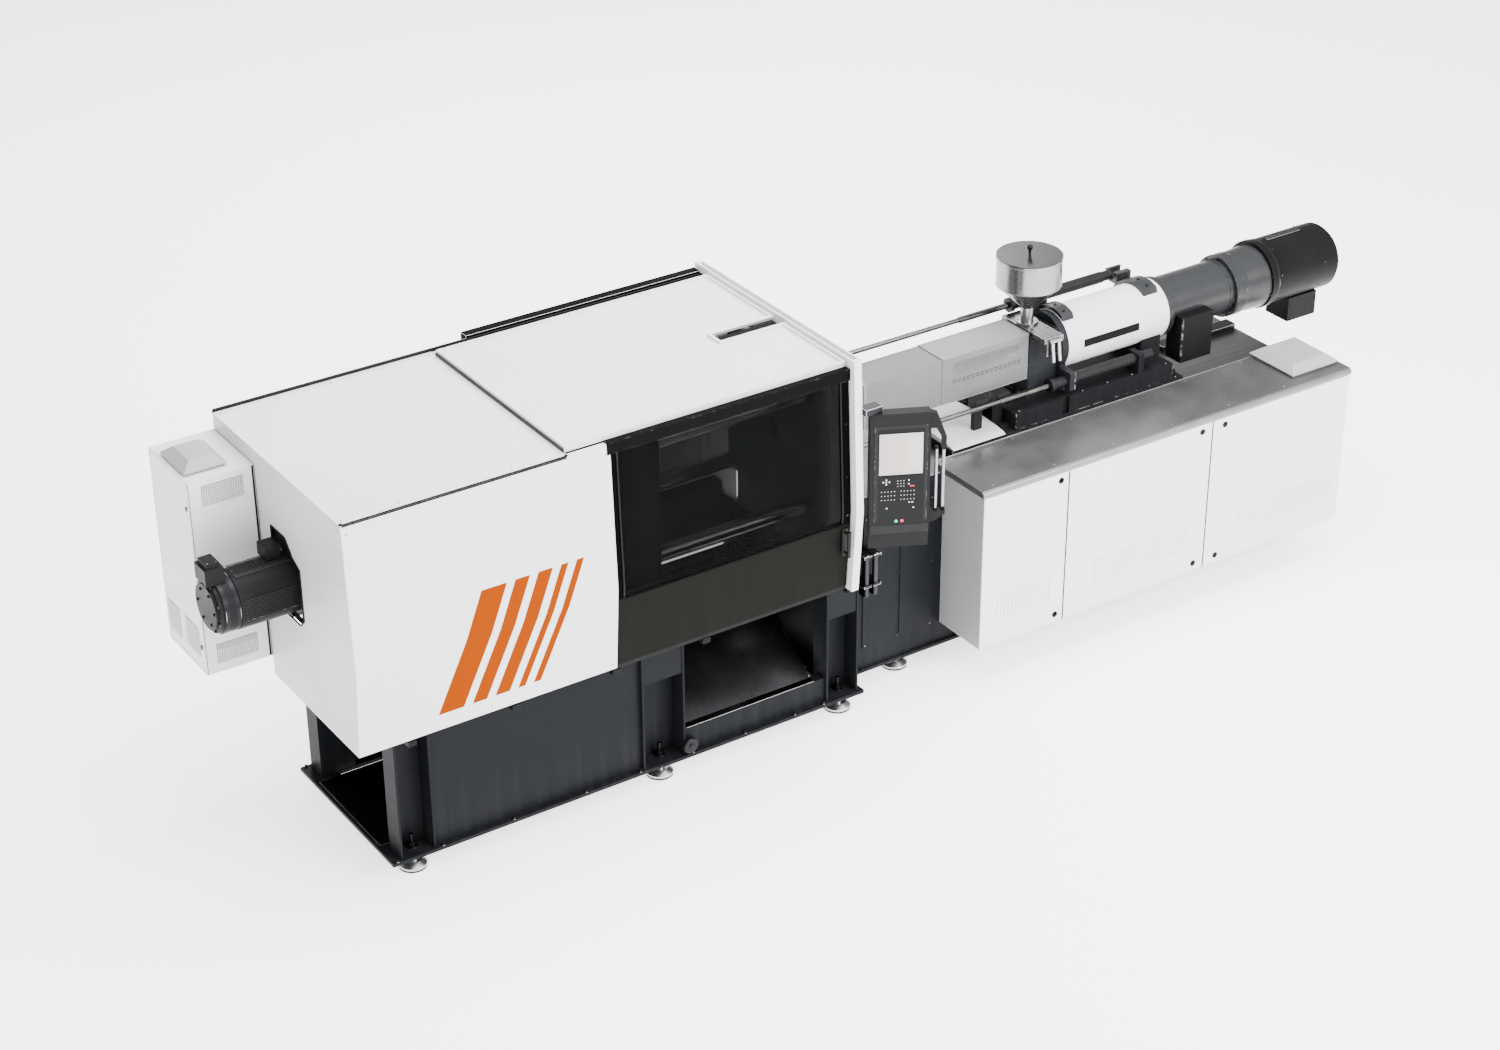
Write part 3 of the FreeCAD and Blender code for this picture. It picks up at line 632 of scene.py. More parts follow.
@dataclass(frozen=True)
class Display(Finish):
    """A lit screen with plain blocks of soft colour."""

    rows: int = 7

    def build(self, name: str, box: Box) -> bpy.types.Material:
        """Builds the screen for a piece that fills a box.

        Args:
            name: The material's name.
            box: Low and high corner of the piece, in metres.

        Returns:
            The material.
        """
        g = Graph(name)
        height = box[1].z - box[0].z
        v = (g.along("Z") - box[0].z) / height
        u = (g.along("X") - box[0].x) / (box[1].x - box[0].x)
        warm = g.mix(u, (0.36, 0.31, 0.295), (0.44, 0.375, 0.33))
        bar = (v > 0.90).most(v < 0.07)
        line = ((v * self.rows) % 1.0 < 0.045) * (v > 0.1) * (v < 0.88) * (u > 0.06) * (u < 0.62)
        graph = abs(v - 0.45 - (g.noise(14.0, 2.0, (1.0, 1.0, 0.0)) - 0.5) * 0.5) < 0.008
        field_ = (u > 0.68) * (u < 0.94) * (v > 0.15) * (v < 0.84)
        colour = g.mix(bar * 0.5, warm, (0.30, 0.34, 0.40))
        colour = g.mix(field_ * 0.22, colour, (0.60, 0.62, 0.66))
        colour = g.mix(line * 0.5, colour, (0.33, 0.30, 0.29))
        colour = g.mix(graph * (u > 0.06) * (u < 0.62) * 0.5, colour, (0.18, 0.30, 0.40))
        return g.finish({"Base Color": colour, "Emission Color": colour, "Emission Strength": 0.25,
                         "Roughness": 0.16, "Coat Weight": 0.6, "Coat Roughness": 0.05})


WHITE = PowderCoat((0.66, 0.665, 0.67), rough=0.38, wear=0.35)
GREY = PowderCoat((0.50, 0.505, 0.51), rough=0.36, wear=0.4)
PALE = PowderCoat((0.66, 0.665, 0.67), rough=0.40, wear=0.4)
BASE = PowderCoat((0.0072, 0.0078, 0.0093), rough=0.40, wear=0.7, dust=(0.045, 0.045, 0.042), dust_share=0.16,
                  peel=0.00025, metal=(0.12, 0.12, 0.125), gloss=0.045)
OLIVE = PowderCoat((0.0058, 0.0058, 0.0050), rough=0.50, wear=0.4, dust=(0.02, 0.02, 0.018), gloss=0.02)
SLATE = PowderCoat((0.012, 0.0125, 0.013), rough=0.45, wear=0.5, dust=(0.03, 0.03, 0.03), gloss=0.03)
INK = PowderCoat((0.0013, 0.0013, 0.0014), rough=0.42, wear=0.1, dust=(0.006, 0.006, 0.006), gloss=0.006)
DRIVE = PowderCoat((0.012, 0.0126, 0.0136), rough=0.30, wear=0.6, dust=(0.05, 0.05, 0.05), gloss=0.32)
ORANGE = PowderCoat((0.22, 0.034, 0.0), rough=0.8, wear=0.0, dust_share=0.0, peel=0.00004, gloss=0.0)
SHAFT = Turned()
CHROME = Turned((0.45, 0.45, 0.46), rough=0.10, axis="Z")
RUBBER = Moulded((0.005, 0.005, 0.005), rough=0.75, grain=0.0002)
BLACK_PLASTIC = Moulded((0.0045, 0.0047, 0.0052), rough=0.42)
SCREW_STEEL = Brushed((0.34, 0.34, 0.35), rough=0.32)
# the guard's white paint made darker for the end cover: painted shade for the end face, which takes less
# light
END_WHITE_IN_PAINTED_SHADE = PowderCoat((0.50, 0.504, 0.51), rough=0.38, wear=0.35)
BED = PowderCoat((0.0080, 0.0084, 0.0092), rough=0.40, wear=0.6, dust=(0.03, 0.03, 0.03), dust_share=0.12,
                 gloss=0.03)
HEADER = PowderCoat((0.0032, 0.0032, 0.0034), rough=0.45, wear=0.08, dust=(0.008, 0.008, 0.008), gloss=0.01)
DARK = Moulded((0.002, 0.002, 0.002), rough=0.8)
BLACK_STEEL = Brushed((0.022, 0.022, 0.024), rough=0.4)
CABINET_END = PowderCoat((0.22, 0.222, 0.225), rough=0.34, wear=0.35, metal=(0.5, 0.5, 0.5), gloss=0.3)
GUARD_PLATE = PowderCoat((0.175, 0.178, 0.182), rough=0.36, wear=0.4, gloss=0.2)
TRAY = PowderCoat((0.50, 0.50, 0.50), rough=0.36, wear=0.3)
VENT = PowderCoat((0.27, 0.272, 0.275), rough=0.4, gloss=0.3)
HOUSING = PowderCoat((0.0112, 0.0114, 0.0116), rough=0.40, wear=0.3, dust=(0.02, 0.02, 0.02), gloss=0.04)
BEZEL = PowderCoat((0.016, 0.0165, 0.017), rough=0.42, wear=0.25, dust=(0.04, 0.04, 0.04), gloss=0.05)
CABINET_TOP = Perforated((0.19, 0.192, 0.195), up="Y", pitch=0.014, hole=0.0030, metallic=0.85, rough=0.34,
                         limits=(-99.0, 99.0, -0.615, -0.19))
GUARD_MESH = Perforated((0.13, 0.132, 0.135), across="X", up="Z", pitch=0.011, hole=0.0024, rough=0.38)
PLATEN_IRON = Casting((0.06, 0.063, 0.067))
HOLDER_IRON = Casting((0.014, 0.015, 0.017))
MOTOR_IRON = Casting((0.0078, 0.0080, 0.0085), rough=0.42, sand=0.0003)
DOSING_IRON = Casting((0.0030, 0.0031, 0.0033), rough=0.42, sand=0.0003)
BARREL_STEEL = Turned((0.34, 0.30, 0.25), rough=0.34)
ROD_STEEL = Turned((0.085, 0.085, 0.087), rough=0.22)
FOOT_STEEL = Turned((0.50, 0.50, 0.51), rough=0.24, axis="Z")
HOPPER_STEEL = Turned((0.24, 0.24, 0.245), rough=0.24, axis="Z")
CHUTE_STEEL = Brushed((0.035, 0.035, 0.037), rough=0.24, grain=Axis.Y)
CONDUIT = Brushed((0.035, 0.035, 0.038), rough=0.38, grain=Axis.Z)
LIP_STEEL = Brushed((0.30, 0.30, 0.31), rough=0.36)
TOP_STEEL = Brushed((0.13, 0.13, 0.133), rough=0.42, smears=0.7)
LID_STEEL = Brushed((0.038, 0.038, 0.040), rough=0.34, grain=Axis.X, smears=0.3)
SLIDE_STEEL = Brushed((0.12, 0.12, 0.123), rough=0.28, grain=Axis.Y)
BEAD_STEEL = Brushed((0.28, 0.28, 0.285), rough=0.22)
GRIP = Brushed((0.30, 0.305, 0.31), rough=0.30, grain=Axis.Z)
CYLINDER = Moulded((0.006, 0.006, 0.0065), rough=0.35)
KEY_GREY = Moulded((0.42, 0.42, 0.42), rough=0.5)
KEY_PALE = Moulded((0.72, 0.72, 0.72), rough=0.45)
RED_KEY = Moulded((0.55, 0.018, 0.022), rough=0.35, coat=0.4)
GREEN_KEY = Moulded((0.03, 0.36, 0.17), rough=0.35, coat=0.4)


# ------------------------------------------------------------------ modelling
class Bench:
    """Modelling steps by Blender's own operators. Each piece ends at the origin, placed in its mesh."""

    @staticmethod
    def pick(*pieces: Object) -> None:
        """Selects only these pieces; the first is active."""
        bpy.ops.object.select_all(action="DESELECT")
        for piece in pieces:
            piece.select_set(True)
        bpy.context.view_layer.objects.active = pieces[0]

    @staticmethod
    @contextmanager
    def editing(piece: Object) -> Iterator[bmesh.types.BMesh]:
        """Edit mode on one piece, with its bmesh for choosing faces and edges.

        Args:
            piece: The piece to edit.

        Yields:
            Its bmesh.
        """
        Bench.pick(piece)
        bpy.ops.object.mode_set(mode="EDIT")
        yield bmesh.from_edit_mesh(piece.data)
        bpy.ops.object.mode_set(mode="OBJECT")

    @staticmethod
    def settle(name: str) -> Object:
        """Names the active new piece and writes its place into its mesh.

        Args:
            name: The piece's name.

        Returns:
            The piece.
        """
        piece = bpy.context.object
        piece.name = piece.data.name = name
        Bench.pick(piece)
        bpy.ops.object.transform_apply(location=True, rotation=True, scale=True)
        return piece

    @staticmethod
    def choose(piece: Object, test: Callable[[Vector, Vector], bool]) -> None:
        """Selects the faces whose centre and normal pass a test, in edit mode.

        Args:
            piece: The piece, in edit mode.
            test: Takes a face's centre and normal.
        """
        mesh = bmesh.from_edit_mesh(piece.data)
        bpy.ops.mesh.select_mode(type="FACE")
        bpy.ops.mesh.select_all(action="DESELECT")
        for face in mesh.faces:
            face.select_set(test(face.calc_center_median(), face.normal))
        mesh.select_flush_mode()
        bmesh.update_edit_mesh(piece.data)

    @staticmethod
    def modifier(piece: Object, kind: str, **settings: object) -> None:
        """Adds a modifier and applies it at once.

        Args:
            piece: The piece.
            kind: Modifier type.
            **settings: Its properties.
        """
        Bench.pick(piece)
        added = piece.modifiers.new(kind.title(), kind)
        for key, value in settings.items():
            setattr(added, key, value)
        bpy.ops.object.modifier_apply(modifier=added.name)

    @staticmethod
    def soften(piece: Object, width: float, segments: int = 2, angle: float = 30.0) -> Object:
        """Rounds the piece's sharp edges and keeps its flats flat.

        Args:
            piece: The piece.
            width: Bevel width, in millimetres.
            segments: Bevel segments.
            angle: Edges sharper than this, in degrees, are rounded.

        Returns:
            The same piece.
        """
        if width > 0:
            Bench.modifier(piece, "BEVEL", width=width * 0.001, segments=segments, limit_method="ANGLE",
                           angle_limit=math.radians(angle), use_clamp_overlap=True, miter_outer="MITER_ARC")
        Bench.pick(piece)
        bpy.ops.object.shade_smooth_by_angle(angle=math.radians(50.0))
        Bench.modifier(piece, "WEIGHTED_NORMAL", mode="FACE_AREA", weight=60, keep_sharp=True)
        return piece

    @staticmethod
    def block(name: str, x: Sequence[float], y: Sequence[float], z: Sequence[float], bevel: float = 1.5,
              segments: int = 2) -> Object:
        """A box between two values on each axis, in millimetres, with softened edges.

        Args:
            name: The piece's name.
            x: Low and high limit along the machine.
            y: Low and high limit to the rear.
            z: Low and high limit upwards.
            bevel: Edge rounding; none where zero.
            segments: Bevel segments.

        Returns:
            The block.
        """
        low, high = at(x[0], y[0], z[0]), at(x[1], y[1], z[1])
        bpy.ops.mesh.primitive_cube_add(size=1.0, location=(low + high) / 2)
        bpy.context.object.scale = high - low
        piece = Bench.settle(name)
        return Bench.soften(piece, bevel, segments) if bevel else piece

    @staticmethod
    def turned(name: str, foot: Vector, axis: Axis, rings: Rings, sides: int = 48,
               bevel: float = 0.0) -> Object:
        """A turned piece: a disc extruded and resized ring by ring.

        Args:
            name: The piece's name.
            foot: The point that distances along the axis are counted from.
            axis: The turning axis.
            rings: Distance along the axis and radius of each ring, in millimetres.
            sides: Sides of the circle.
            bevel: Edge rounding, in millimetres.

        Returns:
            The finished piece, closed at both ends.
        """
        start, radius = rings[0]
        bpy.ops.mesh.primitive_circle_add(vertices=sides, radius=radius * 0.001, fill_type="NGON",
                                          location=(0.0, 0.0, start * 0.001))
        piece = Bench.settle(name)
        with Bench.editing(piece):
            bpy.ops.mesh.select_all(action="SELECT")
            here = start
            for z, r in rings[1:]:
                bpy.ops.mesh.extrude_region_move(TRANSFORM_OT_translate={"value": (0.0, 0.0,
                                                                                   (z - here) * 0.001)})
                if abs(r - radius) > 1e-6:
                    bpy.ops.transform.resize(value=(r / radius, r / radius, 1.0),
                                             center_override=(0.0, 0.0, z * 0.001))
                here, radius = z, r
            bpy.ops.mesh.select_all(action="SELECT")
            bpy.ops.mesh.normals_make_consistent(inside=False)
        piece.matrix_world = Matrix.Translation(foot) @ axis.turn
        Bench.pick(piece)
        bpy.ops.object.transform_apply(location=True, rotation=True, scale=True)
        return Bench.soften(piece, bevel)

    @staticmethod
    def copies(master: Object, places: Iterable[Matrix], name: str) -> Object:
        """Copies a master to each place, joins the copies into one piece and removes the master.

        Args:
            master: The piece to copy; it is removed.
            places: Where each copy stands.
            name: The joined piece's name.

        Returns:
            The joined piece.
        """
        made = []
        for place in places:
            twin = master.copy()
            twin.data = master.data.copy()
            bpy.context.collection.objects.link(twin)
            twin.matrix_world = place
            made.append(twin)
        bpy.data.objects.remove(master)
        return Bench.join(made, name)

    @staticmethod
    def join(pieces: Sequence[Object], name: str) -> Object:
        """Joins pieces into one, with its place in its mesh.

        Args:
            pieces: The pieces; the first takes in the others.
            name: The joined piece's name.

        Returns:
            The joined piece.
        """
        Bench.pick(*pieces)
        if len(pieces) > 1:
            bpy.ops.object.join()
        return Bench.settle(name)

    @staticmethod
    def array(piece: Object, count: int, x: float = 0.0, y: float = 0.0, z: float = 0.0) -> Object:
        """Repeats a piece at a step in millimetres.

        Args:
            piece: The piece.
            count: How many there are in the end.
            x: Step along the machine.
            y: Step to the rear.
            z: Step upwards.

        Returns:
            The same piece.
        """
        Bench.modifier(piece, "ARRAY", count=count, use_relative_offset=False, use_constant_offset=True,
                       constant_offset_displace=(x * 0.001, y * 0.001, z * 0.001))
        return piece

    @staticmethod
    def lattice(name: str, centre: Vector, right: Vector, up: Vector, size: Tuple[float, float], pitch: float,
                bar: float = 1.6, depth: float = 1.6) -> Object:
        """A crossed grid of thin bars that lies on a face.

        Args:
            name: The piece's name.
            centre: Middle of the grid, in metres.
            right: Unit vector along its width.
            up: Unit vector along its height.
            size: Width and height, in millimetres.
            pitch: Step between bars, in millimetres.
            bar: Width of a bar.
            depth: Thickness of a bar.

        Returns:
            The grid.
        """
        turn = Matrix((right, up, right.cross(up))).transposed().to_4x4()
        made = []
        for length, span, flip in ((size[1], size[0], False), (size[0], size[1], True)):
            count = int(span // pitch)
            bpy.ops.mesh.primitive_cube_add(size=1.0)
            rod = bpy.context.object
            rod.scale = Vector((length, bar, depth) if flip else (bar, length, depth)) * 0.001
            first = -count * pitch / 2
            rod.location = Vector((0.0, first, 0.0) if flip else (first, 0.0, 0.0)) * 0.001
            Bench.settle(name + "_bars")
            made.append(Bench.array(bpy.context.object, count + 1, **{"y" if flip else "x": pitch}))
        grid = Bench.join(made, name)
        grid.matrix_world = Matrix.Translation(centre) @ turn
        Bench.pick(grid)
        bpy.ops.object.transform_apply(location=True, rotation=True, scale=True)
        return grid

    @staticmethod
    def socket_screw(name: str, radius: float, height: float) -> Object:
        """A cap screw head standing on the origin along +Z, with its hexagon socket.

        Args:
            name: The piece's name.
            radius: Radius of the head, in millimetres.
            height: Height of the head, in millimetres.

        Returns:
            The head.
        """
        bpy.ops.mesh.primitive_cylinder_add(vertices=18, radius=radius * 0.001, depth=height * 0.001,
                                            location=(0.0, 0.0, height * 0.0005))
        head = Bench.settle(name)
        Bench.modifier(head, "BEVEL", width=radius * 0.00016, segments=1, limit_method="ANGLE")
        with Bench.editing(head):
            Bench.choose(head, lambda c, n: n.z > 0.9 and c.z > height * 0.0009)
            bpy.ops.mesh.inset(thickness=radius * 0.00045)
            bpy.ops.mesh.extrude_region_move(TRANSFORM_OT_translate={"value": (0.0, 0.0, -height * 0.0005)})
        return head

    @staticmethod
    def hex_head(name: str, across: float, height: float, washer: float) -> Object:
        """A hexagon head on its washer, standing on the origin along +Z.

        Args:
            name: The piece's name.
            across: Radius over the corners, in millimetres.
            height: Height of the head, in millimetres.
            washer: Radius of the washer, in millimetres.

        Returns:
            The head on its washer.
        """
        bpy.ops.mesh.primitive_cylinder_add(vertices=24, radius=washer * 0.001, depth=0.003,
                                            location=(0, 0, 0.0015))
        plate = Bench.settle(name + "_washer")
        bpy.ops.mesh.primitive_cylinder_add(vertices=6, radius=across * 0.001, depth=height * 0.001,
                                            location=(0.0, 0.0, 0.003 + height * 0.0005))
        head = Bench.settle(name)
        Bench.modifier(head, "BEVEL", width=across * 0.0001, segments=1, limit_method="ANGLE")
        return Bench.join([head, plate], name)


def facing(point: Vector, normal: Vector, spin: float = 0.0) -> Matrix:
    """The place of a part that stands on a point along a normal, turned about it by spin degrees."""
    turn = Vector((0.0, 0.0, 1.0)).rotation_difference(normal).to_matrix().to_4x4()
    return Matrix.Translation(point) @ turn @ Matrix.Rotation(math.radians(spin), 4, "Z")


FRONT, REAR = Vector((0.0, -1.0, 0.0)), Vector((0.0, 1.0, 0.0))
LEFT, RIGHT, UP = Vector((-1.0, 0.0, 0.0)), Vector((1.0, 0.0, 0.0)), Vector((0.0, 0.0, 1.0))


def add(piece: Object, finish: Finish, body: str, slot: str, stands_for: Sequence[str] = ()) -> Object:
    """Gives a new piece its finish and its body.

    Args:
        piece: The piece, already in place.
        finish: Its surface.
        body: The body it moves with.
        slot: The record's material slot; not used.
        stands_for: CAD nodes that it replaces.

    Returns:
        The same piece.
    """
    finish.put_on(piece)
    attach(piece, body)
    if stands_for:
        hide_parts(*stands_for)
    log.info("%s: %d faces, with %s", piece.name, len(piece.data.polygons), body)
    return piece


@dataclass
class Carried:
    """CAD nodes that keep their shape and get softened edges and a finish."""

    finish: Finish
    nodes: Sequence[str]
    bevel: float = 1.5
    segments: int = 2

    def build(self) -> None:
        """Stands a merged, softened copy for each node."""
        for node in self.nodes:
            source = frame["nodes"][node]
            piece = source.copy()
            piece.data = source.data.copy()
            piece.parent = None
            piece.matrix_world = Matrix.Identity(4)
            piece.animation_data_clear()
            bpy.context.collection.objects.link(piece)
            piece.name = piece.data.name = node + "_dressed"
            with Bench.editing(piece):
                bpy.ops.mesh.select_all(action="SELECT")
                bpy.ops.mesh.remove_doubles(threshold=1e-6)
                bpy.ops.mesh.dissolve_limited(angle_limit=math.radians(0.6))
                bpy.ops.mesh.select_all(action="DESELECT")
            if "custom_normal" in piece.data.attributes:
                piece.data.attributes.remove(piece.data.attributes["custom_normal"])
            Bench.soften(piece, self.bevel, self.segments)
            slot = next(s["material_slot"] for s in frame["record"]["subparts"] if s["node"] == node)
            add(piece, self.finish, BODY_OF[node], slot, [node])


FRONT_LEVELS = ((925.0, -683.0), (1400.0, -720.0), (2200.0, -683.0))


def front_y(z: float) -> float:
    """Outer face of the bent front sheets at a height, in millimetres.

    Args:
        z: Height above the floor.

    Returns:
        The outer face's distance from the centre plane, negative to the front.
    """
    low, mid, high = FRONT_LEVELS
    first, last = (low, mid) if z <= mid[0] else (mid, high)
    return first[1] + (last[1] - first[1]) * (z - first[0]) / (last[0] - first[0])


def front_normal(z: float) -> Vector:
    """Outward normal of the bent front sheets at a height."""
    slope = (front_y(z + 1.0) - front_y(z - 1.0)) / 2
    return Vector((0.0, -1.0, slope)).normalized()


def circle(x: float, radius: float, count: int, z: float, side: Vector, first: float = 0.0) -> Places:
    """Places evenly round a face that looks along X, on the machine's centre plane.

    Args:
        x: Where the face stands.
        radius: Radius of the circle.
        count: How many places.
        z: Height of its centre.
        side: The face's outward normal.
        first: Turn of the first place, in radians.

    Returns:
        The points and their normals.
    """
    turns = (2 * math.pi / count * k + first for k in range(count))
    return [((x, radius * math.cos(t), z + radius * math.sin(t)), side) for t in turns]


@dataclass
class Screws:
    """A set of like screw heads on faces of the machine."""

    name: str
    body: str
    places: Places
    radius: float = 6.0
    height: float = 4.0
    finish: Finish = SCREW_STEEL
    slot: str = "steel"
    hexagon: bool = False

    def build(self) -> None:
        """Models one head and copies it to every place."""
        if self.hexagon:
            head = Bench.hex_head(self.name, self.radius, self.height, self.radius * 1.35)
        else:
            head = Bench.socket_screw(self.name, self.radius, self.height)
        spots = [facing(at(*point), normal, 17.0 * k) for k, (point, normal) in enumerate(self.places)]
        add(Bench.copies(head, spots, self.name), self.finish, self.body, self.slot)


@dataclass
class Fitting:
    """Parts that are modelled here and joined into one piece."""

    name: str
    body: str
    finish: Finish
    slot: str

    def close(self, made: Sequence[Object]) -> None:
        """Joins the parts and dresses the piece."""
        add(Bench.join(made, self.name), self.finish, self.body, self.slot)


@dataclass
class Blocks(Fitting):
    """Plain pieces with softened edges that share a finish, joined into one."""

    spans: Sequence[Block]
    bevel: float = 1.2

    def build(self) -> None:
        """Models each block between its limits and joins them."""
        made = [Bench.block("%s_%d" % (self.name, k), *span, bevel=self.bevel) for k,
                span in enumerate(self.spans)]
        self.close(made)


@dataclass
class Turnings(Fitting):
    """Turned pieces that share a finish, joined into one: foot, axis and rings of each."""

    rings: Rings
    feet: Sequence[Point]
    axis: Axis = Axis.X
    sides: int = 48
    bevel: float = 0.8

    def build(self) -> None:
        """Turns a piece on every foot and joins them."""
        made = [Bench.turned("%s_%d" % (self.name, k), at(*foot), self.axis, self.rings, self.sides,
                             self.bevel)
                for k, foot in enumerate(self.feet)]
        self.close(made)


@dataclass
class Grille:
    """Vent grilles: a dark backing under a grid of bars, on a flat face."""

    name: str
    body: str
    panes: Sequence[Tuple[Point, Vector, Vector, Tuple[float, float]]]
    finish: Finish
    slot: str
    pitch: float = 11.0
    bar: float = 6.4
    backing: float = 0.4
    lift: float = 1.4
    margin: float = 2.0

    def build(self) -> None:
        """Models the backing and the bars of every pane."""
        backs, grids = [], []
        for k, (centre, right, up, size) in enumerate(self.panes):
            out = right.cross(up)
            middle = at(*centre)
            bpy.ops.mesh.primitive_cube_add(size=1.0)
            back = bpy.context.object
            thick = self.backing * 0.001
            spread = Matrix.Diagonal((size[0] * 0.001, size[1] * 0.001, thick, 1.0))
            turn = Matrix((right, up, out)).transposed().to_4x4()
            back.matrix_world = Matrix.Translation(middle + out * thick) @ turn @ spread
            backs.append(Bench.settle("%s_back_%d" % (self.name, k)))
            inner = (size[0] - 2 * self.margin, size[1] - 2 * self.margin)
            grids.append(Bench.lattice("%s_%d" % (self.name, k), middle + out * self.lift * 0.001, right, up,
                                       inner, self.pitch, self.bar))
        add(Bench.join(backs, self.name + "_backing"), DARK, self.body, "motor_black")
        add(Bench.join(grids, self.name), self.finish, self.body, self.slot)


@dataclass
class FrontMarks(Fitting):
    """Plates that lie on the bent front sheets and lean with height."""

    bars: Sequence[Tuple[float, float, float, float]]
    lean: float = 0.42
    proud: float = 1.2
    back: float = 0.4

    def leg(self, label: str, x: Tuple[float, float], z: Tuple[float, float], shift: float) -> Object:
        """One plate between two heights that the front has no bend between.

        Args:
            label: The plate's name.
            x: Left and right limit at the foot of the whole bar.
            z: Foot and head of the leg.
            shift: How far the lean has carried the foot along.

        Returns:
            The plate.
        """
        y = front_y(z[0])
        piece = Bench.block(label, (x[0] + shift, x[1] + shift), (y - self.proud, y + self.back), z,
                            bevel=0.0)
        drift = Vector((self.lean * (z[1] - z[0]), front_y(z[1]) - y, 0.0)) * 0.001
        with Bench.editing(piece):
            Bench.choose(piece, lambda c, n: n.z > 0.9)
            bpy.ops.transform.translate(value=drift)
        return piece

    def build(self) -> None:
        """Models a lower and an upper leg for each bar."""
        made = []
        for k, (x0, x1, z0, z1) in enumerate(self.bars):
            bend = FRONT_LEVELS[1][0]
            cuts = [z0] + ([bend] if z0 < bend < z1 else []) + [z1]
            for j, span in enumerate(zip(cuts, cuts[1:])):
                made.append(self.leg("%s_%d_%d" % (self.name, k, j), (x0, x1), span,
                                     self.lean * (span[0] - z0)))
        self.close(made)


@dataclass
class Rods(Fitting):
    """Round bars between pairs of points, joined into one piece."""

    runs: Sequence[Tuple[Point, Point]]
    radius: float = 4.0
    sides: int = 20

    def build(self) -> None:
        """Turns a bar for each run and joins them."""
        made = []
        for k, (start, end) in enumerate(self.runs):
            a, b = at(*start), at(*end)
            bpy.ops.mesh.primitive_cylinder_add(vertices=self.sides, radius=self.radius * 0.001,
                                                depth=(b - a).length, location=(a + b) / 2)
            bpy.context.object.rotation_euler = (b - a).to_track_quat("Z", "Y").to_euler()
            made.append(Bench.soften(Bench.settle("%s_%d" % (self.name, k)), self.radius * 0.15))
        self.close(made)


# ------------------------------------------------------------------ sub-assemblies
class Piece(Protocol):
    """Anything that builds its own objects."""

    def build(self) -> None:
        """Builds the piece."""


class Assembly:
    """A sub-assembly of the machine, built piece by piece."""

    def pieces(self) -> List[Piece]:
        """Lists the pieces in the order they are built.

        Returns:
            The pieces of the sub-assembly.
        """
        raise NotImplementedError

    def build(self) -> None:
        """Builds every piece in order."""
        for piece in self.pieces():
            piece.build()


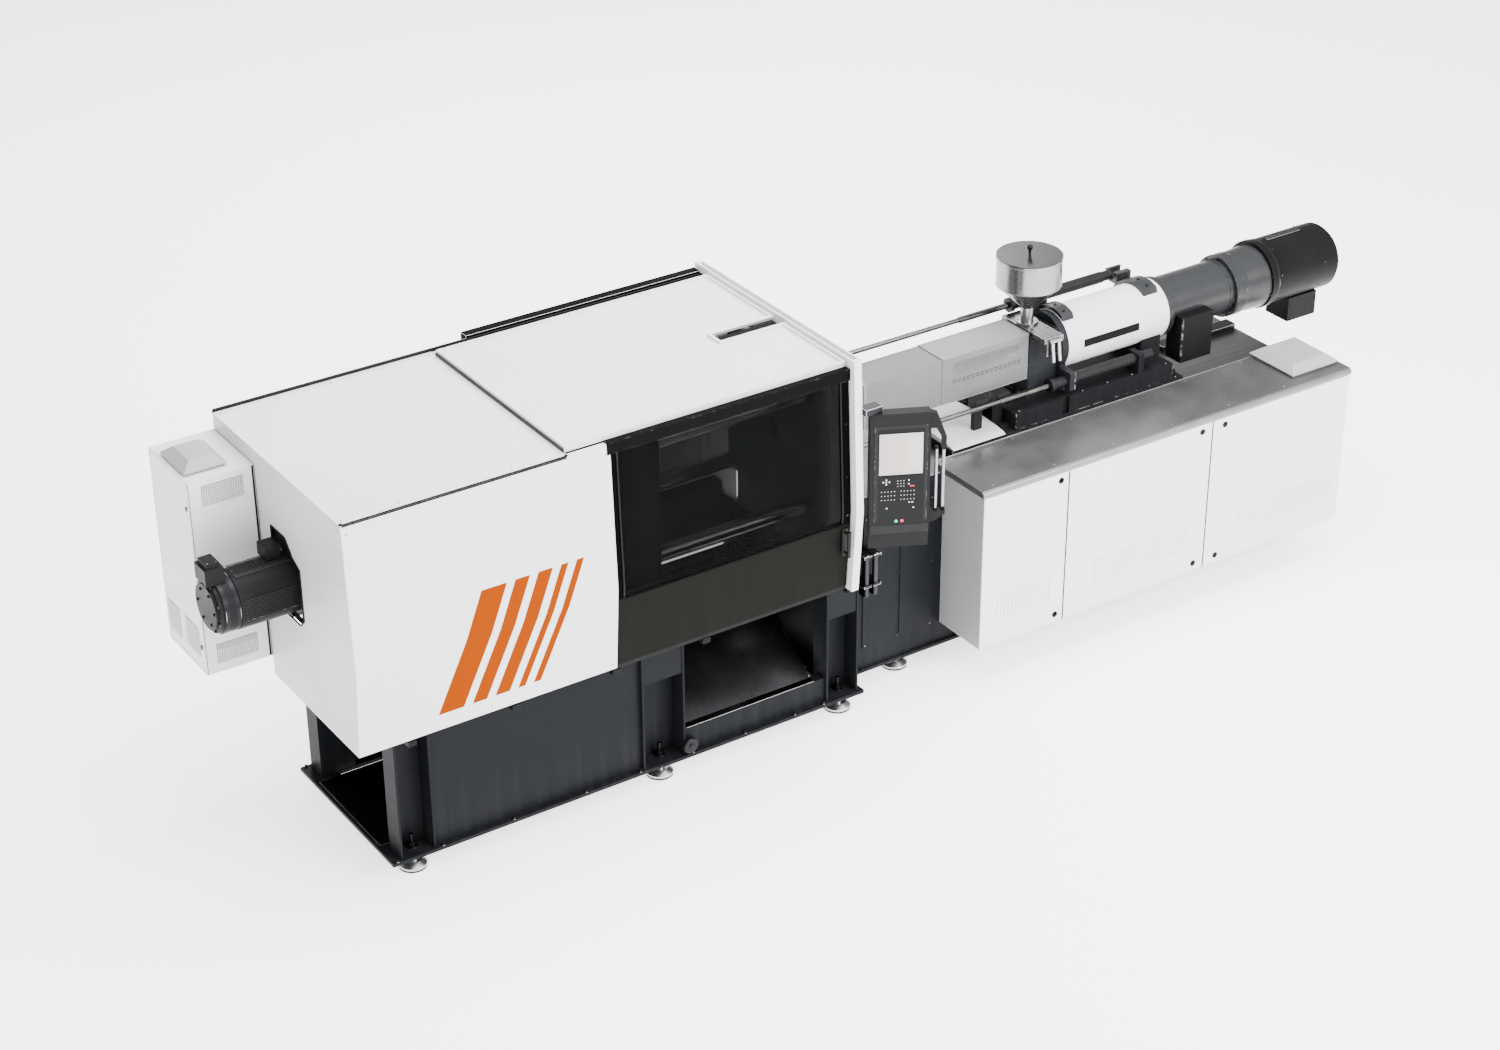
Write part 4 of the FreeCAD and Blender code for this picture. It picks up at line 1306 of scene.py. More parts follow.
@dataclass
class ClampBase(Assembly):
    """Dark welded bases, chute, feet and what is bolted to them. All sizes are in millimetres."""

    deck: float = 120.0
    columns_x: Sizes = (153.0, 1630.0, 2781.0)
    columns_y: float = 431.0
    rear_feet_x: Sizes = (3300.0, 5750.0)
    rear_feet_y: float = 250.0
    foot_radius: float = 73.6
    flange_bolts_x: Sizes = (30.0, 290.0, 700.0, 1130.0, 1460.0, 1790.0, 2120.0, 2440.0, 2630.0)
    flange_bolts_y: float = 515.0
    side_bolts_x: Sizes = (3000.0, 3480.0, 3960.0, 4440.0, 4920.0, 5400.0)
    side_bolts_y: float = 356.0
    column_bolts_x: Sizes = (80.0, 230.0, 1515.0, 1725.0, 2682.0, 2839.0)
    column_bolts_z: Span = (842.0, 884.0)
    cover_y: Span = (-341.0, -335.0)
    cover_z: Span = (244.0, 1076.0)
    cover_screws_x: Sizes = (3030.0, 3250.0, 3470.0)
    cover_screws_z: Sizes = (262.0, 660.0, 1058.0)
    plug_at: Point = (1771.0, 0.0, 172.0)
    conduits_x: Span = (2970.0, 3030.0)
    conduit_y: float = -425.0
    conduit_radius: float = 17.0

    def feet(self) -> List[Piece]:
        """Lists the rims of the feet and the jacking studs that stand over the column feet."""
        columns = [(x, s * self.columns_y, 0.0) for x in self.columns_x for s in (-1, 1)]
        rear = [(x, s * self.rear_feet_y, 0.0) for x in self.rear_feet_x for s in (-1, 1)]
        rim = ((1.0, self.foot_radius), (14.0, self.foot_radius))
        stud = tuple((self.deck + up, r) for up, r in
                     ((0.0, 30.0), (6.0, 30.0), (6.0, 21.0), (26.0, 21.0), (26.0, 12.0), (76.0, 12.0)))
        return [
            Turnings("feet_rims", "frame", RUBBER, "trim_dark", rim, columns + rear, Axis.Z, 56, 2.0),
            Turnings("jack_studs", "frame", BLACK_STEEL, "base_dark", stud, columns, Axis.Z, 24),
        ]

    def covers(self) -> List[Piece]:
        """Lists the bolts of the bases, the side covers and their screws."""
        flange = [((x, s * y, self.deck), UP)
                  for y, places in ((self.flange_bolts_y, self.flange_bolts_x),
                                    (self.side_bolts_y, self.side_bolts_x))
                  for s in (-1, 1) for x in places]
        cover = [((x, self.cover_y[0], z), FRONT) for x in self.cover_screws_x for z in self.cover_screws_z]
        column = [((x, -499.0, z), FRONT) for x in self.column_bolts_x for z in self.column_bolts_z]
        sheets = [((x, x + 226.0), self.cover_y, self.cover_z) for x in (3012.0, 3262.0)]
        ledge = ((300.0, 1450.0), (-486.0, -480.0), (856.0, 862.0))
        joint = ((2896.0, 2902.0), (-336.0, -332.0), (130.0, 1180.0))
        return [
            Screws("flange_bolts", "frame", flange, 7.5, 8.0, BLACK_STEEL, "base_dark", True),
            Blocks("side_covers", "frame", BASE, "base_dark", sheets + [ledge, joint]),
            Screws("side_cover_screws", "frame", cover, 6.0, 4.0, BLACK_STEEL, "base_dark"),
            Screws("column_bolts", "frame", column, 8.0, 6.0, BLACK_STEEL, "base_dark"),
        ]

    def conduits(self) -> List[Piece]:
        """Lists the two rigid conduits with their clamps, and a dark sheet inside the base as painted shade.
        """
        y = self.conduit_y
        upright = [((x, y, 640.0), (x, y, 900.0)) for x in self.conduits_x]
        inward = [((x, y, 646.0), (x, -338.0, 646.0)) for x in self.conduits_x]
        clamps = [((x - 26.0, x + 26.0), (-446.0, self.cover_y[1]), (z, z + 16.0))
                  for x in self.conduits_x for z in (700.0, 880.0)]
        # painted shade: a dark sheet low inside the base
        sheet = ((20.0, 1485.0), (-344.0, 344.0), (120.3, 122.3))
        return [
            Rods("conduits", "frame", CONDUIT, "light_grey", upright + inward, self.conduit_radius, 28),
            Blocks("conduit_clamps", "frame", BLACK_STEEL, "trim_dark", clamps),
            Blocks("base_drip_sheet", "frame", BLACK_STEEL, "base_dark", [sheet], 0.5),
        ]

    def pieces(self) -> List[Piece]:
        """Lists the pieces in the order they are built."""
        plug = ((-484.0, 30.0), (-498.0, 30.0), (-498.0, 44.0), (-528.0, 44.0), (-532.0, 38.0),
                (-532.0, 14.0), (-538.0, 14.0))
        return [
            Carried(BASE, ("clamp_base", "injection_base"), 2.2),
            Carried(CHUTE_STEEL, ("product_chute",), 0.6),
            Carried(FOOT_STEEL, ("levelling_feet",), 1.0),
            *self.feet(),
            Turnings("sill_plug", "frame", BLACK_PLASTIC, "motor_black", plug, [self.plug_at], Axis.Y, 40,
                     1.2),
            *self.covers(),
            *self.conduits(),
        ]


@dataclass
class ClampGuard(Assembly):
    """White guard sheets over the clamp with their seams, screws and plain orange bars."""

    roof_z: float = 2203.0
    roof_screws_x: Sizes = (-180.0, 120.0, 420.0, 720.0, 980.0)
    roof_screws_y: Span = (-640.0, 660.0)
    hatch_z: float = 2236.0
    hatch_screws_x: Sizes = (1060.0, 1450.0, 1840.0, 2230.0, 2610.0)
    hatch_screws_y: Span = (-637.0, 632.0)
    end_x: float = -209.0
    end_screws_y: Span = (-650.0, 212.0)
    end_screws_z: Sizes = (960.0, 1250.0, 1560.0, 1870.0, 2160.0)
    rear_y: float = 697.0
    rear_screws_x: Sizes = (0.0, 400.0, 800.0, 1190.0)
    rear_screws_z: Sizes = (960.0, 1560.0, 2160.0)
    front_screws: Sequence[Span] = ((-170.0, 960.0), (520.0, 960.0), (1210.0, 960.0), (1215.0, 2150.0),
                                    (-180.0, 2150.0))
    opening: Sequence[Span] = ((-191, 1445), (-146, 1400), (146, 1400), (191, 1445), (191, 1707), (146, 1752),
                               (106, 1752), (106, 1845), (-48, 1845), (-106, 1782), (-106, 1772),
                               (-191, 1727))
    bars_x: Sequence[Span] = ((226.0, 366.0), (414.0, 494.0), (542.0, 622.0), (670.0, 710.0), (758.0, 798.0))
    bars_z: Span = (1016.0, 1640.0)
    frame_x: Span = (2712.0, 2715.0)

    def screws(self) -> List[Piece]:
        """Lists the screws of the guard's sheets and of the roof hatch."""
        roof = [((x, y, self.roof_z), UP) for y in self.roof_screws_y for x in self.roof_screws_x]
        end = [((self.end_x, y, z), LEFT) for y in self.end_screws_y for z in self.end_screws_z]
        front = [((x, front_y(z), z), front_normal(z)) for x, z in self.front_screws]
        rear = [((x, self.rear_y, z), REAR) for x in self.rear_screws_x for z in self.rear_screws_z]
        hatch = [((x, y, self.hatch_z), UP) for y in self.hatch_screws_y for x in self.hatch_screws_x]
        return [
            Screws("guard_screws", "frame", roof + end + front + rear, 5.0, 2.2),
            Screws("hatch_screws", "frame", hatch, 4.5, 2.2),
        ]

    def front(self) -> List[Piece]:
        """Lists the plain slanted bars and the lower seam of the front sheet."""
        return [
            FrontMarks("front_bars", "frame", ORANGE, "trim_dark", [(*x, *self.bars_z) for x in self.bars_x]),
            FrontMarks("front_lower_seam", "frame", PALE, "cabinet_grey", [(-190.0, 1236.0, 938.0, 941.0)],
                       0.0, 0.5),
        ]

    def roof(self) -> List[Piece]:
        """Lists the roof's dark edge lines, a painted shadow on the hatch's left side, the white strips, and
        the hose slot's rim with painted shade inside it.
        """
        lines = [((-200.0, 1000.0), (-685.4, -682.6), (2191.0, 2200.0)),
                 # painted shadow: a dark strip on the hatch's left side face
                 ((1004.0, 1009.2), (-642.0, 638.0), (2204.0, 2222.0)),
                 ((-205.0, 1214.0), (697.2, 705.0), (2186.0, 2220.0))]
        strips = [((-195.0, 16.0), (-680.0, -664.0), (2206.0, 2214.0)),
                  ((16.0, 990.0), (-679.0, -670.0), (2206.0, 2210.0))]
        slot = [((2262.0, 2650.0), (2.0, 8.0), (2222.0, 2229.0)),
                ((2262.0, 2650.0), (-96.0, -90.0), (2222.0, 2229.0)),
                ((2262.0, 2270.0), (-96.0, 8.0), (2222.0, 2229.0)),
                # painted shade: a dark sheet down in the hose slot
                ((2274.0, 2652.0), (-86.0, -2.0), (2206.0, 2209.0))]
        return [
            Blocks("top_edge_line", "frame", BLACK_STEEL, "trim_dark", lines, 0.5),
            Blocks("top_edge_strip", "frame", WHITE, "guard_white", strips),
            Blocks("hatch_slot_trim", "frame", RUBBER, "trim_dark", slot),
        ]

    def end_frame(self) -> List[Piece]:
        """Lists the white frame around the fixed platen with its channel, corner plates and screws."""
        channel = ((2676.0, 2700.0), (-688.0, 748.0), (2226.2, 2228.0))
        corners = [(self.frame_x, (-708.0, -640.0), (2150.0, 2236.0)),
                   (self.frame_x, (690.0, 768.0), (2150.0, 2236.0)),
                   (self.frame_x, (-712.0, -650.0), (940.0, 1010.0))]
        sides = [((2711.0, y, z), RIGHT) for y in (-690.0, 740.0) for z in (1100.0, 1500.0, 1800.0, 2100.0)]
        plates = [((self.frame_x[1], y, z), RIGHT) for y in (-690.0, -660.0, 706.0, 752.0)
                  for z in (2168.0, 2218.0)]
        return [
            Blocks("end_frame_channel", "frame", GREY, "cabinet_grey", [channel], 0.4),
            Carried(WHITE, ("end_frame",), 1.6),
            Blocks("end_frame_corners", "frame", GREY, "cabinet_grey", corners, 0.6),
            Screws("end_frame_screws", "frame", sides + plates, 5.0, 2.5),
        ]

    def pieces(self) -> List[Piece]:
        """Lists the pieces in the order they are built."""
        rim_x = self.end_x - 2.0
        trim = [((rim_x, *a), (rim_x, *b)) for a, b in zip(self.opening, self.opening[1:] + self.opening[:1])]
        return [
            Carried(WHITE, ("front_panel", "rear_panel", "top_cover"), 1.4, 3),
            Carried(WHITE, ("roof_hatch",), 1.4),
            # end cover in the darkened white: painted shade
            Carried(END_WHITE_IN_PAINTED_SHADE, ("end_cover",), 1.4),
            Carried(SLATE, ("guard_rails",), 0.8),
            Rods("motor_opening_trim", "frame", RUBBER, "trim_dark", trim, 4.0, 12),
            *self.screws(),
            *self.front(),
            *self.roof(),
            *self.end_frame(),
        ]


@dataclass
class Doors(Assembly):
    """Sliding doors, front and rear."""

    frame_screws: Sequence[Span] = ((1300.0, 2181.0), (1750.0, 2181.0), (2200.0, 2181.0), (2630.0, 2181.0),
                                    (2636.0, 1900.0), (2636.0, 1600.0), (2636.0, 1380.0))
    behind: float = 9.0
    gasket_x: Sizes = (1276.0, 2602.0)
    gasket_z: Span = (1340.0, 2164.0)
    header_x: Span = (1222.0, 2660.0)
    rollers_x: Span = (1330.0, 2480.0)
    loop_x: float = 2622.0
    loop_z: Span = (1150.0, 1300.0)
    rear_screws_x: Span = (1246.0, 2634.0)
    rear_screws_z: Sizes = (1040.0, 1300.0, 1560.0, 1820.0, 2080.0)
    rear_handle_z: Span = (1400.0, 1560.0)

    def front(self) -> List[Piece]:
        """Lists the front door, what is fixed to it and the header above it."""
        screws = [((x, front_y(z) + self.behind, z), front_normal(z)) for x, z in self.frame_screws]
        gasket = [(x, x + 8.0, *self.gasket_z) for x in self.gasket_x]
        header = [(self.header_x, (-687.0, -683.5), (2141.0, 2207.0)),
                  (self.header_x, (-684.0, -647.0), (2203.5, 2207.0))]
        rollers = [((x, x + 70.0), (-668.0, -662.0), (2150.0, 2192.0)) for x in self.rollers_x]
        low, high = self.loop_z
        plate = ((self.loop_x - 18.0, self.loop_x + 20.0), (-716.0, -706.0), (low - 4.0, high + 4.0))
        loop = ((self.loop_x, -746.0, low), (self.loop_x, -750.0, high))
        return [
            Carried(INK, ("front_door_frame",), 1.6),
            Carried(TintedPane(), ("front_door_window",), 0.5),
            Carried(OLIVE, ("front_door_panel",), 1.4),
            Screws("door_frame_screws", "front_door", screws, 5.0, 2.0, BLACK_STEEL, "door_dark"),
            FrontMarks("door_gasket", "front_door", RUBBER, "trim_dark", gasket, 0.0, -4.2, 8.8),
            Blocks("door_header", "frame", HEADER, "door_dark", header, 0.8),
            Blocks("door_rollers", "front_door", BLACK_STEEL, "trim_dark", rollers),
            Blocks("door_hand_plate", "front_door", BLACK_PLASTIC, "trim_dark", [plate], 4.0),
            Rods("door_loop", "front_door", BLACK_PLASTIC, "trim_dark", [loop], 11.0, 28),
        ]

    def rear(self) -> List[Piece]:
        """Lists the rear door, its top beam, screws and handle."""
        beam = ((1221.4, 2658.6), (710.4, 769.6), (2139.4, 2228.6))
        screws = [((x, 737.0, z), REAR) for x in self.rear_screws_x for z in self.rear_screws_z]
        low, high = self.rear_handle_z
        grip = ((2610.0, 2634.0), (756.0, 766.0), (low, high))
        posts = [((2612.0, 2632.0), (737.0, 758.0), (z, z + 16.0)) for z in (low + 4.0, high - 20.0)]
        return [
            Carried(WHITE, ("rear_door",), 1.2),
            Blocks("rear_door_beam", "rear_door", INK, "door_dark", [beam], 3.0),
            Screws("rear_door_screws", "rear_door", screws, 5.5, 3.0),
            Blocks("rear_door_handle", "rear_door", BLACK_PLASTIC, "trim_dark", [grip, *posts], 4.0),
        ]

    def pieces(self) -> List[Piece]:
        """Lists the pieces in the order they are built."""
        return self.front() + self.rear()


@dataclass
class DriveEnd(Assembly):
    """Drive cabinet, clamp motor and the vents of both cabinets."""

    motor_z: float = 1575.0
    motor_cap: float = -612.0
    motor_end: float = -628.0
    cap_bolts: float = 128.0
    end_bolts: float = 92.0
    motor_radius: float = 149.4
    rings_x: Span = (-531.0, -588.0)
    fins_x: Span = (-486.0, -200.0)
    door_x: Span = (-561.5, -559.0)
    door_y: Span = (256.0, 690.0)
    door_z: Span = (1040.0, 2105.0)
    locks_z: Span = (1180.0, 1960.0)
    painted_shade_x: Span = (-190.0, -186.0)

    def cabinet(self) -> List[Piece]:
        """Lists the drive cabinet with its door, grilles, trim, locks and seams."""
        side_grilles = [((-380.0, 248.0, 2022.0), RIGHT, UP, (216.0, 109.0)),
                        ((-388.0, 248.0, 1137.0), RIGHT, UP, (219.0, 110.0))]
        door_grilles = [((-559.3, 383.0, 1195.0), -REAR, UP, (162.0, 170.0)),
                        ((-559.3, 600.0, 1195.0), -REAR, UP, (140.0, 170.0))]
        (y0, y1), (z0, z1) = self.door_y, self.door_z
        trim = [(self.door_x, y, z) for y, z in (((y0, y1), (z0, z0 + 3.0)), ((y0, y1), (z1 - 3.0, z1)),
                                                 ((y0, y0 + 3.0), (z0, z1)), ((y1 - 3.0, y1), (z0, z1)))]
        lock = ((-559.2, 14.0), (-564.0, 14.0), (-564.0, 8.0), (-562.5, 8.0))
        seams = [((-556.5, -553.5), (247.2, 249.0), (1040.0, 2106.0)),
                 ((-222.0, -212.0), (246.0, 248.5), (1036.0, 2110.0))]
        return [
            Carried(PALE, ("drive_cabinet",), 1.2),
            Carried(PALE, ("drive_cabinet_door",), 1.0),
            Grille("drive_cabinet_grilles", "frame", side_grilles, PALE, "cabinet_grey", 12.0, 5.6),
            Grille("drive_door_grilles", "drive_door", door_grilles, PALE, "cabinet_grey", 12.0, 5.6),
            Blocks("drive_door_trim", "drive_door", PALE, "cabinet_grey", trim, 0.6),
            Turnings("drive_door_locks", "drive_door", BLACK_STEEL, "lock_black", lock,
                     [(0.0, 280.0, z) for z in self.locks_z], Axis.X, 28),
            Blocks("drive_cabinet_seams", "frame", RUBBER, "trim_dark", seams, 0.4),
            Carried(VENT, ("roof_vents",), 2.2),
        ]

    def motor(self) -> List[Piece]:
        """Lists the clamp motor with its bolts, rings, fins, glands, and a dark frame behind its opening as
        painted shade.
        """
        bolts = circle(self.motor_cap, self.cap_bolts, 8, self.motor_z, LEFT, 0.39) \
            + circle(self.motor_end, self.end_bolts, 6, self.motor_z, LEFT)
        r, step = self.motor_radius, self.motor_radius - 1.2
        rings = ((0.0, r), (7.0, r), (7.0, step), (14.0, step), (14.0, r), (21.0, r))
        fins = [(self.fins_x, (y, y + 3.0), (1722.0, 1727.0)) for y in range(-64, 60, 12)] \
            + [(self.fins_x, (-150.0, -145.0), (z, z + 3.0)) for z in range(1520, 1640, 12)]
        lids = [((x, y, 1825.0), UP) for x in (-613.0, -567.0) for y in (-38.0, 38.0)] \
            + [((x, y, 1790.0), UP) for x in (-290.0, -232.0) for y in (-10.0, 82.0)]
        # painted shade: a dark frame round the motor, inside the end cover's opening
        painted_shade_frame = [(self.painted_shade_x, y, z) for y, z in (((-205.0, -153.0), (1385.0, 1860.0)),
                                                     ((153.0, 205.0), (1385.0, 1860.0)),
                                                     ((-153.0, 153.0), (1385.0, 1422.0)),
                                                     ((-153.0, 153.0), (1730.0, 1860.0)))]
        gland = ((62.0, 15.0), (72.0, 15.0), (72.0, 12.0), (88.0, 12.0), (88.0, 9.0))
        return [
            Carried(MOTOR_IRON, ("clamp_motor",), 2.5),
            Screws("clamp_motor_bolts", "frame", bolts, 8.0, 7.0, BLACK_STEEL, "motor_black"),
            Turnings("clamp_motor_rings", "frame", BLACK_STEEL, "motor_black", rings,
                     [(x, 0.0, self.motor_z) for x in self.rings_x], Axis.X, 72, 0.4),
            Blocks("clamp_motor_fins", "frame", DRIVE, "motor_black", fins, 0.8),
            Screws("terminal_box_screws", "frame", lids, 4.0, 3.0, BLACK_STEEL, "motor_black"),
            Blocks("motor_opening_baffle", "frame", DARK, "motor_black", painted_shade_frame, 0.4),
            Turnings("cable_glands", "frame", BLACK_PLASTIC, "motor_black", gland,
                     [(-590.0, 0.0, 1748.0), (-262.0, 30.0, 1752.0)], Axis.Y, 20),
        ]

    def pieces(self) -> List[Piece]:
        """Lists the pieces in the order they are built."""
        return self.cabinet() + self.motor()


@dataclass
class ClampUnit(Assembly):
    """Platens, tie bars and drive inside the guard."""

    bars_y: float = 330.0
    bars_z: Span = (1265.0, 1925.0)
    nut_radius: float = 74.0
    grid_y: Sizes = (-245.0, -175.0, -70.0, 70.0, 175.0, 245.0)
    grid_z: Sizes = (1350.0, 1420.0, 1490.0, 1700.0, 1770.0, 1840.0)
    fixed_face: float = 2640.0
    moving_face: float = 1680.0
    crosshead_face: float = 750.0
    tail_face: float = 100.0

    def pieces(self) -> List[Piece]:
        """Lists the pieces in the order they are built."""
        bars = [(0.0, s * self.bars_y, z) for s in (-1, 1) for z in self.bars_z]
        grid = [(y, z) for y in self.grid_y for z in self.grid_z]
        fixed = [((self.fixed_face, y, z), LEFT) for y, z in grid]
        moving = [((self.moving_face, y, z), RIGHT) for y, z in grid]
        crosshead = circle(self.crosshead_face, 90.0, 8, AXIS_Z, LEFT)
        tail = circle(self.tail_face, 96.0, 8, AXIS_Z, LEFT, 0.39)
        return [
            Carried(PLATEN_IRON, ("tail_platen", "moving_platen", "fixed_platen", "crosshead"), 4.0, 3),
            Carried(SHAFT, ("tie_bars", "ball_screw"), 1.5),
            Carried(BLACK_STEEL, ("ejector",), 2.0),
            Turnings("tie_bar_rings", "frame", BLACK_STEEL, "iron",
                     ((44.0, self.nut_radius), (49.4, self.nut_radius)), bars, Axis.X, 48),
            Screws("fixed_platen_screws", "frame", fixed, 7.0, 1.2, DARK, "iron"),
            Screws("moving_platen_screws", "moving_clamp", moving, 7.0, 1.2, DARK, "iron"),
            Screws("crosshead_screws", "moving_clamp", crosshead, 9.0, 8.0, BLACK_STEEL, "iron"),
            Screws("tail_platen_screws", "frame", tail, 8.0, 6.0, BLACK_STEEL, "iron"),
        ]


@dataclass
class OperatorPanel:
    """The swivelling panel: housing, screen, keys and grip rails, in its own width, depth and height."""

    turn: float = -26.4
    corner: Point = (2737.0, -765.0, 0.0)
    body: str = "operator_panel"
    rim: Span = (-1.4, 0.5)
    screen_rim: Span = (-1.0, 0.5)
    grips_u: Span = (352.0, 389.0)
    grip_depth: float = 35.0
    grip_z: Span = (1374.0, 1720.0)
    grip_radius: float = 8.4
    collar_radius: float = 12.0

    def swing(self, piece: Object) -> Object:
        """Carries a piece from the panel's own width, depth and height to its place on the machine.

        Args:
            piece: The piece, built at the machine's origin.

        Returns:
            The same piece.
        """
        spin = Matrix.Rotation(math.radians(self.turn), 4, "Z")
        home = Matrix.Translation(-at(0.0, 0.0, 0.0))
        piece.matrix_world = Matrix.Translation(at(*self.corner)) @ spin @ home
        Bench.pick(piece)
        bpy.ops.object.transform_apply(location=True, rotation=True, scale=True)
        return piece

    def plates(self, name: str, finish: Finish, slot: str, spans: Sequence[Block], bevel: float) -> None:
        """Builds blocks in the panel's own frame, joined into one piece.

        Args:
            name: The piece's name.
            finish: Its surface.
            slot: The record's material slot.
            spans: Width, depth and height of each block.
            bevel: Edge rounding.
        """
        made = [Bench.block("%s_%d" % (name, k), *span, bevel=bevel) for k, span in enumerate(spans)]
        add(self.swing(Bench.join(made, name)), finish, self.body, slot)

    def caps(self, name: str, finish: Finish, slot: str, places: Sequence[Span],
             half: Tuple[float, float, float], bevel: float) -> None:
        """Builds like keycaps at several places on the panel's face.

        Args:
            name: The piece's name.
            finish: Its surface.
            slot: The record's material slot.
            places: Width and height of each cap's middle.
            half: Half a cap's width, half its height, and how far it stands out.
            bevel: Edge rounding.
        """
        w, h, out = half
        self.plates(name, finish, slot, [((u - w, u + w), (-out, 0.6), (z - h, z + h)) for u, z in places],
                    bevel)

    def keys(self) -> None:
        """Builds the small keys: arrows, numbers, a letter field and the lower row."""
        letters = [(u, z) for z in (1455, 1479, 1503) for u in range(62, 240, 17) if u != 147]
        numbers = [(u, z) for z in (1532, 1548, 1564) for u in (146, 162, 178)]
        arrows = [(70, 1560), (86, 1560), (102, 1560), (86, 1573), (86, 1547)]
        others = [(204, 1566), (204, 1544), (208, 1436), (224, 1436), (90, 1406), (230, 1404)]
        lower = [(u, 1526) for u in range(62, 250, 15)]
        self.caps("panel_keys", KEY_GREY, "light_grey", letters + numbers, (2.6, 2.0, 1.4), 0.5)
        self.caps("panel_pale_keys", KEY_PALE, "light_grey", arrows + others, (3.6, 3.0, 1.6), 0.6)
        self.caps("panel_dark_keys", RUBBER, "trim_dark", lower, (5.0, 4.4, 1.6), 0.8)
        self.caps("panel_red_key", RED_KEY, "red", [(222.0, 1530.0)], (12.0, 4.0, 1.6), 0.8)

    def rims(self) -> None:
        """Builds the bezel around the panel's face and the dark rim around its screen."""
        bezel = [((22.0, 300.0), self.rim, (1866.0, 1884.0))] \
            + [(u, self.rim, (1330.0, 1866.0)) for u in ((22.0, 40.0), (283.0, 300.0))]
        screen = [((42.0, 281.0), self.screen_rim, z) for z in ((1839.0, 1845.0), (1594.0, 1600.0))] \
            + [(u, self.screen_rim, (1600.0, 1839.0)) for u in ((42.0, 47.0), (276.0, 281.0))]
        self.plates("panel_bezel", BEZEL, "panel_black", bezel, 0.6)
        self.plates("panel_screen_rim", DARK, "panel_black", screen, 0.4)

    def bars(self, name: str, finish: Finish, slot: str, places: Sequence[Tuple[float, float, float]],
             radius: float, bevel: float) -> None:
        """Builds upright round bars beside the panel, joined into one piece.

        Args:
            name: The piece's name.
            finish: Its surface.
            slot: The record's material slot.
            places: Place across the panel, foot and head of each bar.
            radius: Radius of the bars.
            bevel: Edge rounding.
        """
        made = [Bench.turned("%s_%d" % (name, k), at(u, self.grip_depth, 0.0), Axis.Z,
                             ((low, radius), (high, radius)), 28, bevel) for k,
                             (u, low, high) in enumerate(places)]
        add(self.swing(Bench.join(made, name)), finish, self.body, slot)

    def build(self) -> None:
        """Builds the panel from the housing outwards."""
        for part in (Carried(HOUSING, ("hmi_housing",), 2.2, 3), Carried(Display(), ("hmi_screen",), 0.3),
                     Carried(GREEN_KEY, ("hmi_start_button",), 0.8),
                     Carried(RED_KEY, ("hmi_stop_button",), 0.8),
                     Carried(BLACK_STEEL, ("hmi_arm",), 2.0)):
            part.build()
        self.rims()
        self.keys()
        self.plates("panel_lower_cover", BEZEL, "panel_black", [((6.0, 309.0), (-2.0, 0.5),
                                                                 (1256.0, 1304.0))], 1.2)
        left, right = self.grips_u
        collars = [(u, z, z + 12.0) for u, z in ((left, 1722.0), (right, 1716.0), (left, 1362.0),
                                                 (right, 1368.0))]
        self.bars("panel_grip_collars", DARK, "panel_black", collars, self.collar_radius, 1.5)
        self.bars("panel_grips", GRIP, "chrome", [(u, *self.grip_z) for u in self.grips_u], self.grip_radius,
                  0.0)


@dataclass
class CabinetDoor:
    """One door of the long cabinet: its louvres, lock plates and edge gasket."""

    name: str
    louvres_x: Tuple[int, int]
    lock_x: float
    gasket_x: Optional[Span] = None
    louvres_z: Span = (392.0, 560.0)
    louvre_step: int = 26
    locks_z: Span = (289.0, 1139.0)

    def louvres(self) -> Piece:
        """Lists the louvre bars, whose feet step a little from bar to bar, in a grey darker than the door as
        painted shade.
        """
        low, high = self.louvres_z
        bars = [((x, x + 5.0), (-702.4, -700.6), (low + (x % 3), high))
                for x in range(*self.louvres_x, self.louvre_step)]
        # the louvres' darker grey is painted shade
        return Blocks(self.name + "_louvres", self.name, GREY, "guard_white", bars, 0.7)

    def fittings(self) -> List[Piece]:
        """Lists the rings around both locks and, where the door has one, its edge gasket."""
        ring = ((-701.0, 18.5), (-702.2, 18.5), (-702.2, 14.4), (-701.1, 14.4))
        locks = [(self.lock_x, 0.0, z) for z in self.locks_z]
        parts: List[Piece] = [Turnings(self.name + "_lock_plates", self.name, RUBBER, "lock_black", ring,
                                       locks, Axis.Y, 40, 0.0)]
        if self.gasket_x:
            strip = (self.gasket_x, (-701.9, -700.9), (242.0, 1181.0))
            parts.append(Blocks(self.name + "_gasket", self.name, RUBBER, "trim_dark", [strip], 0.2))
        return parts


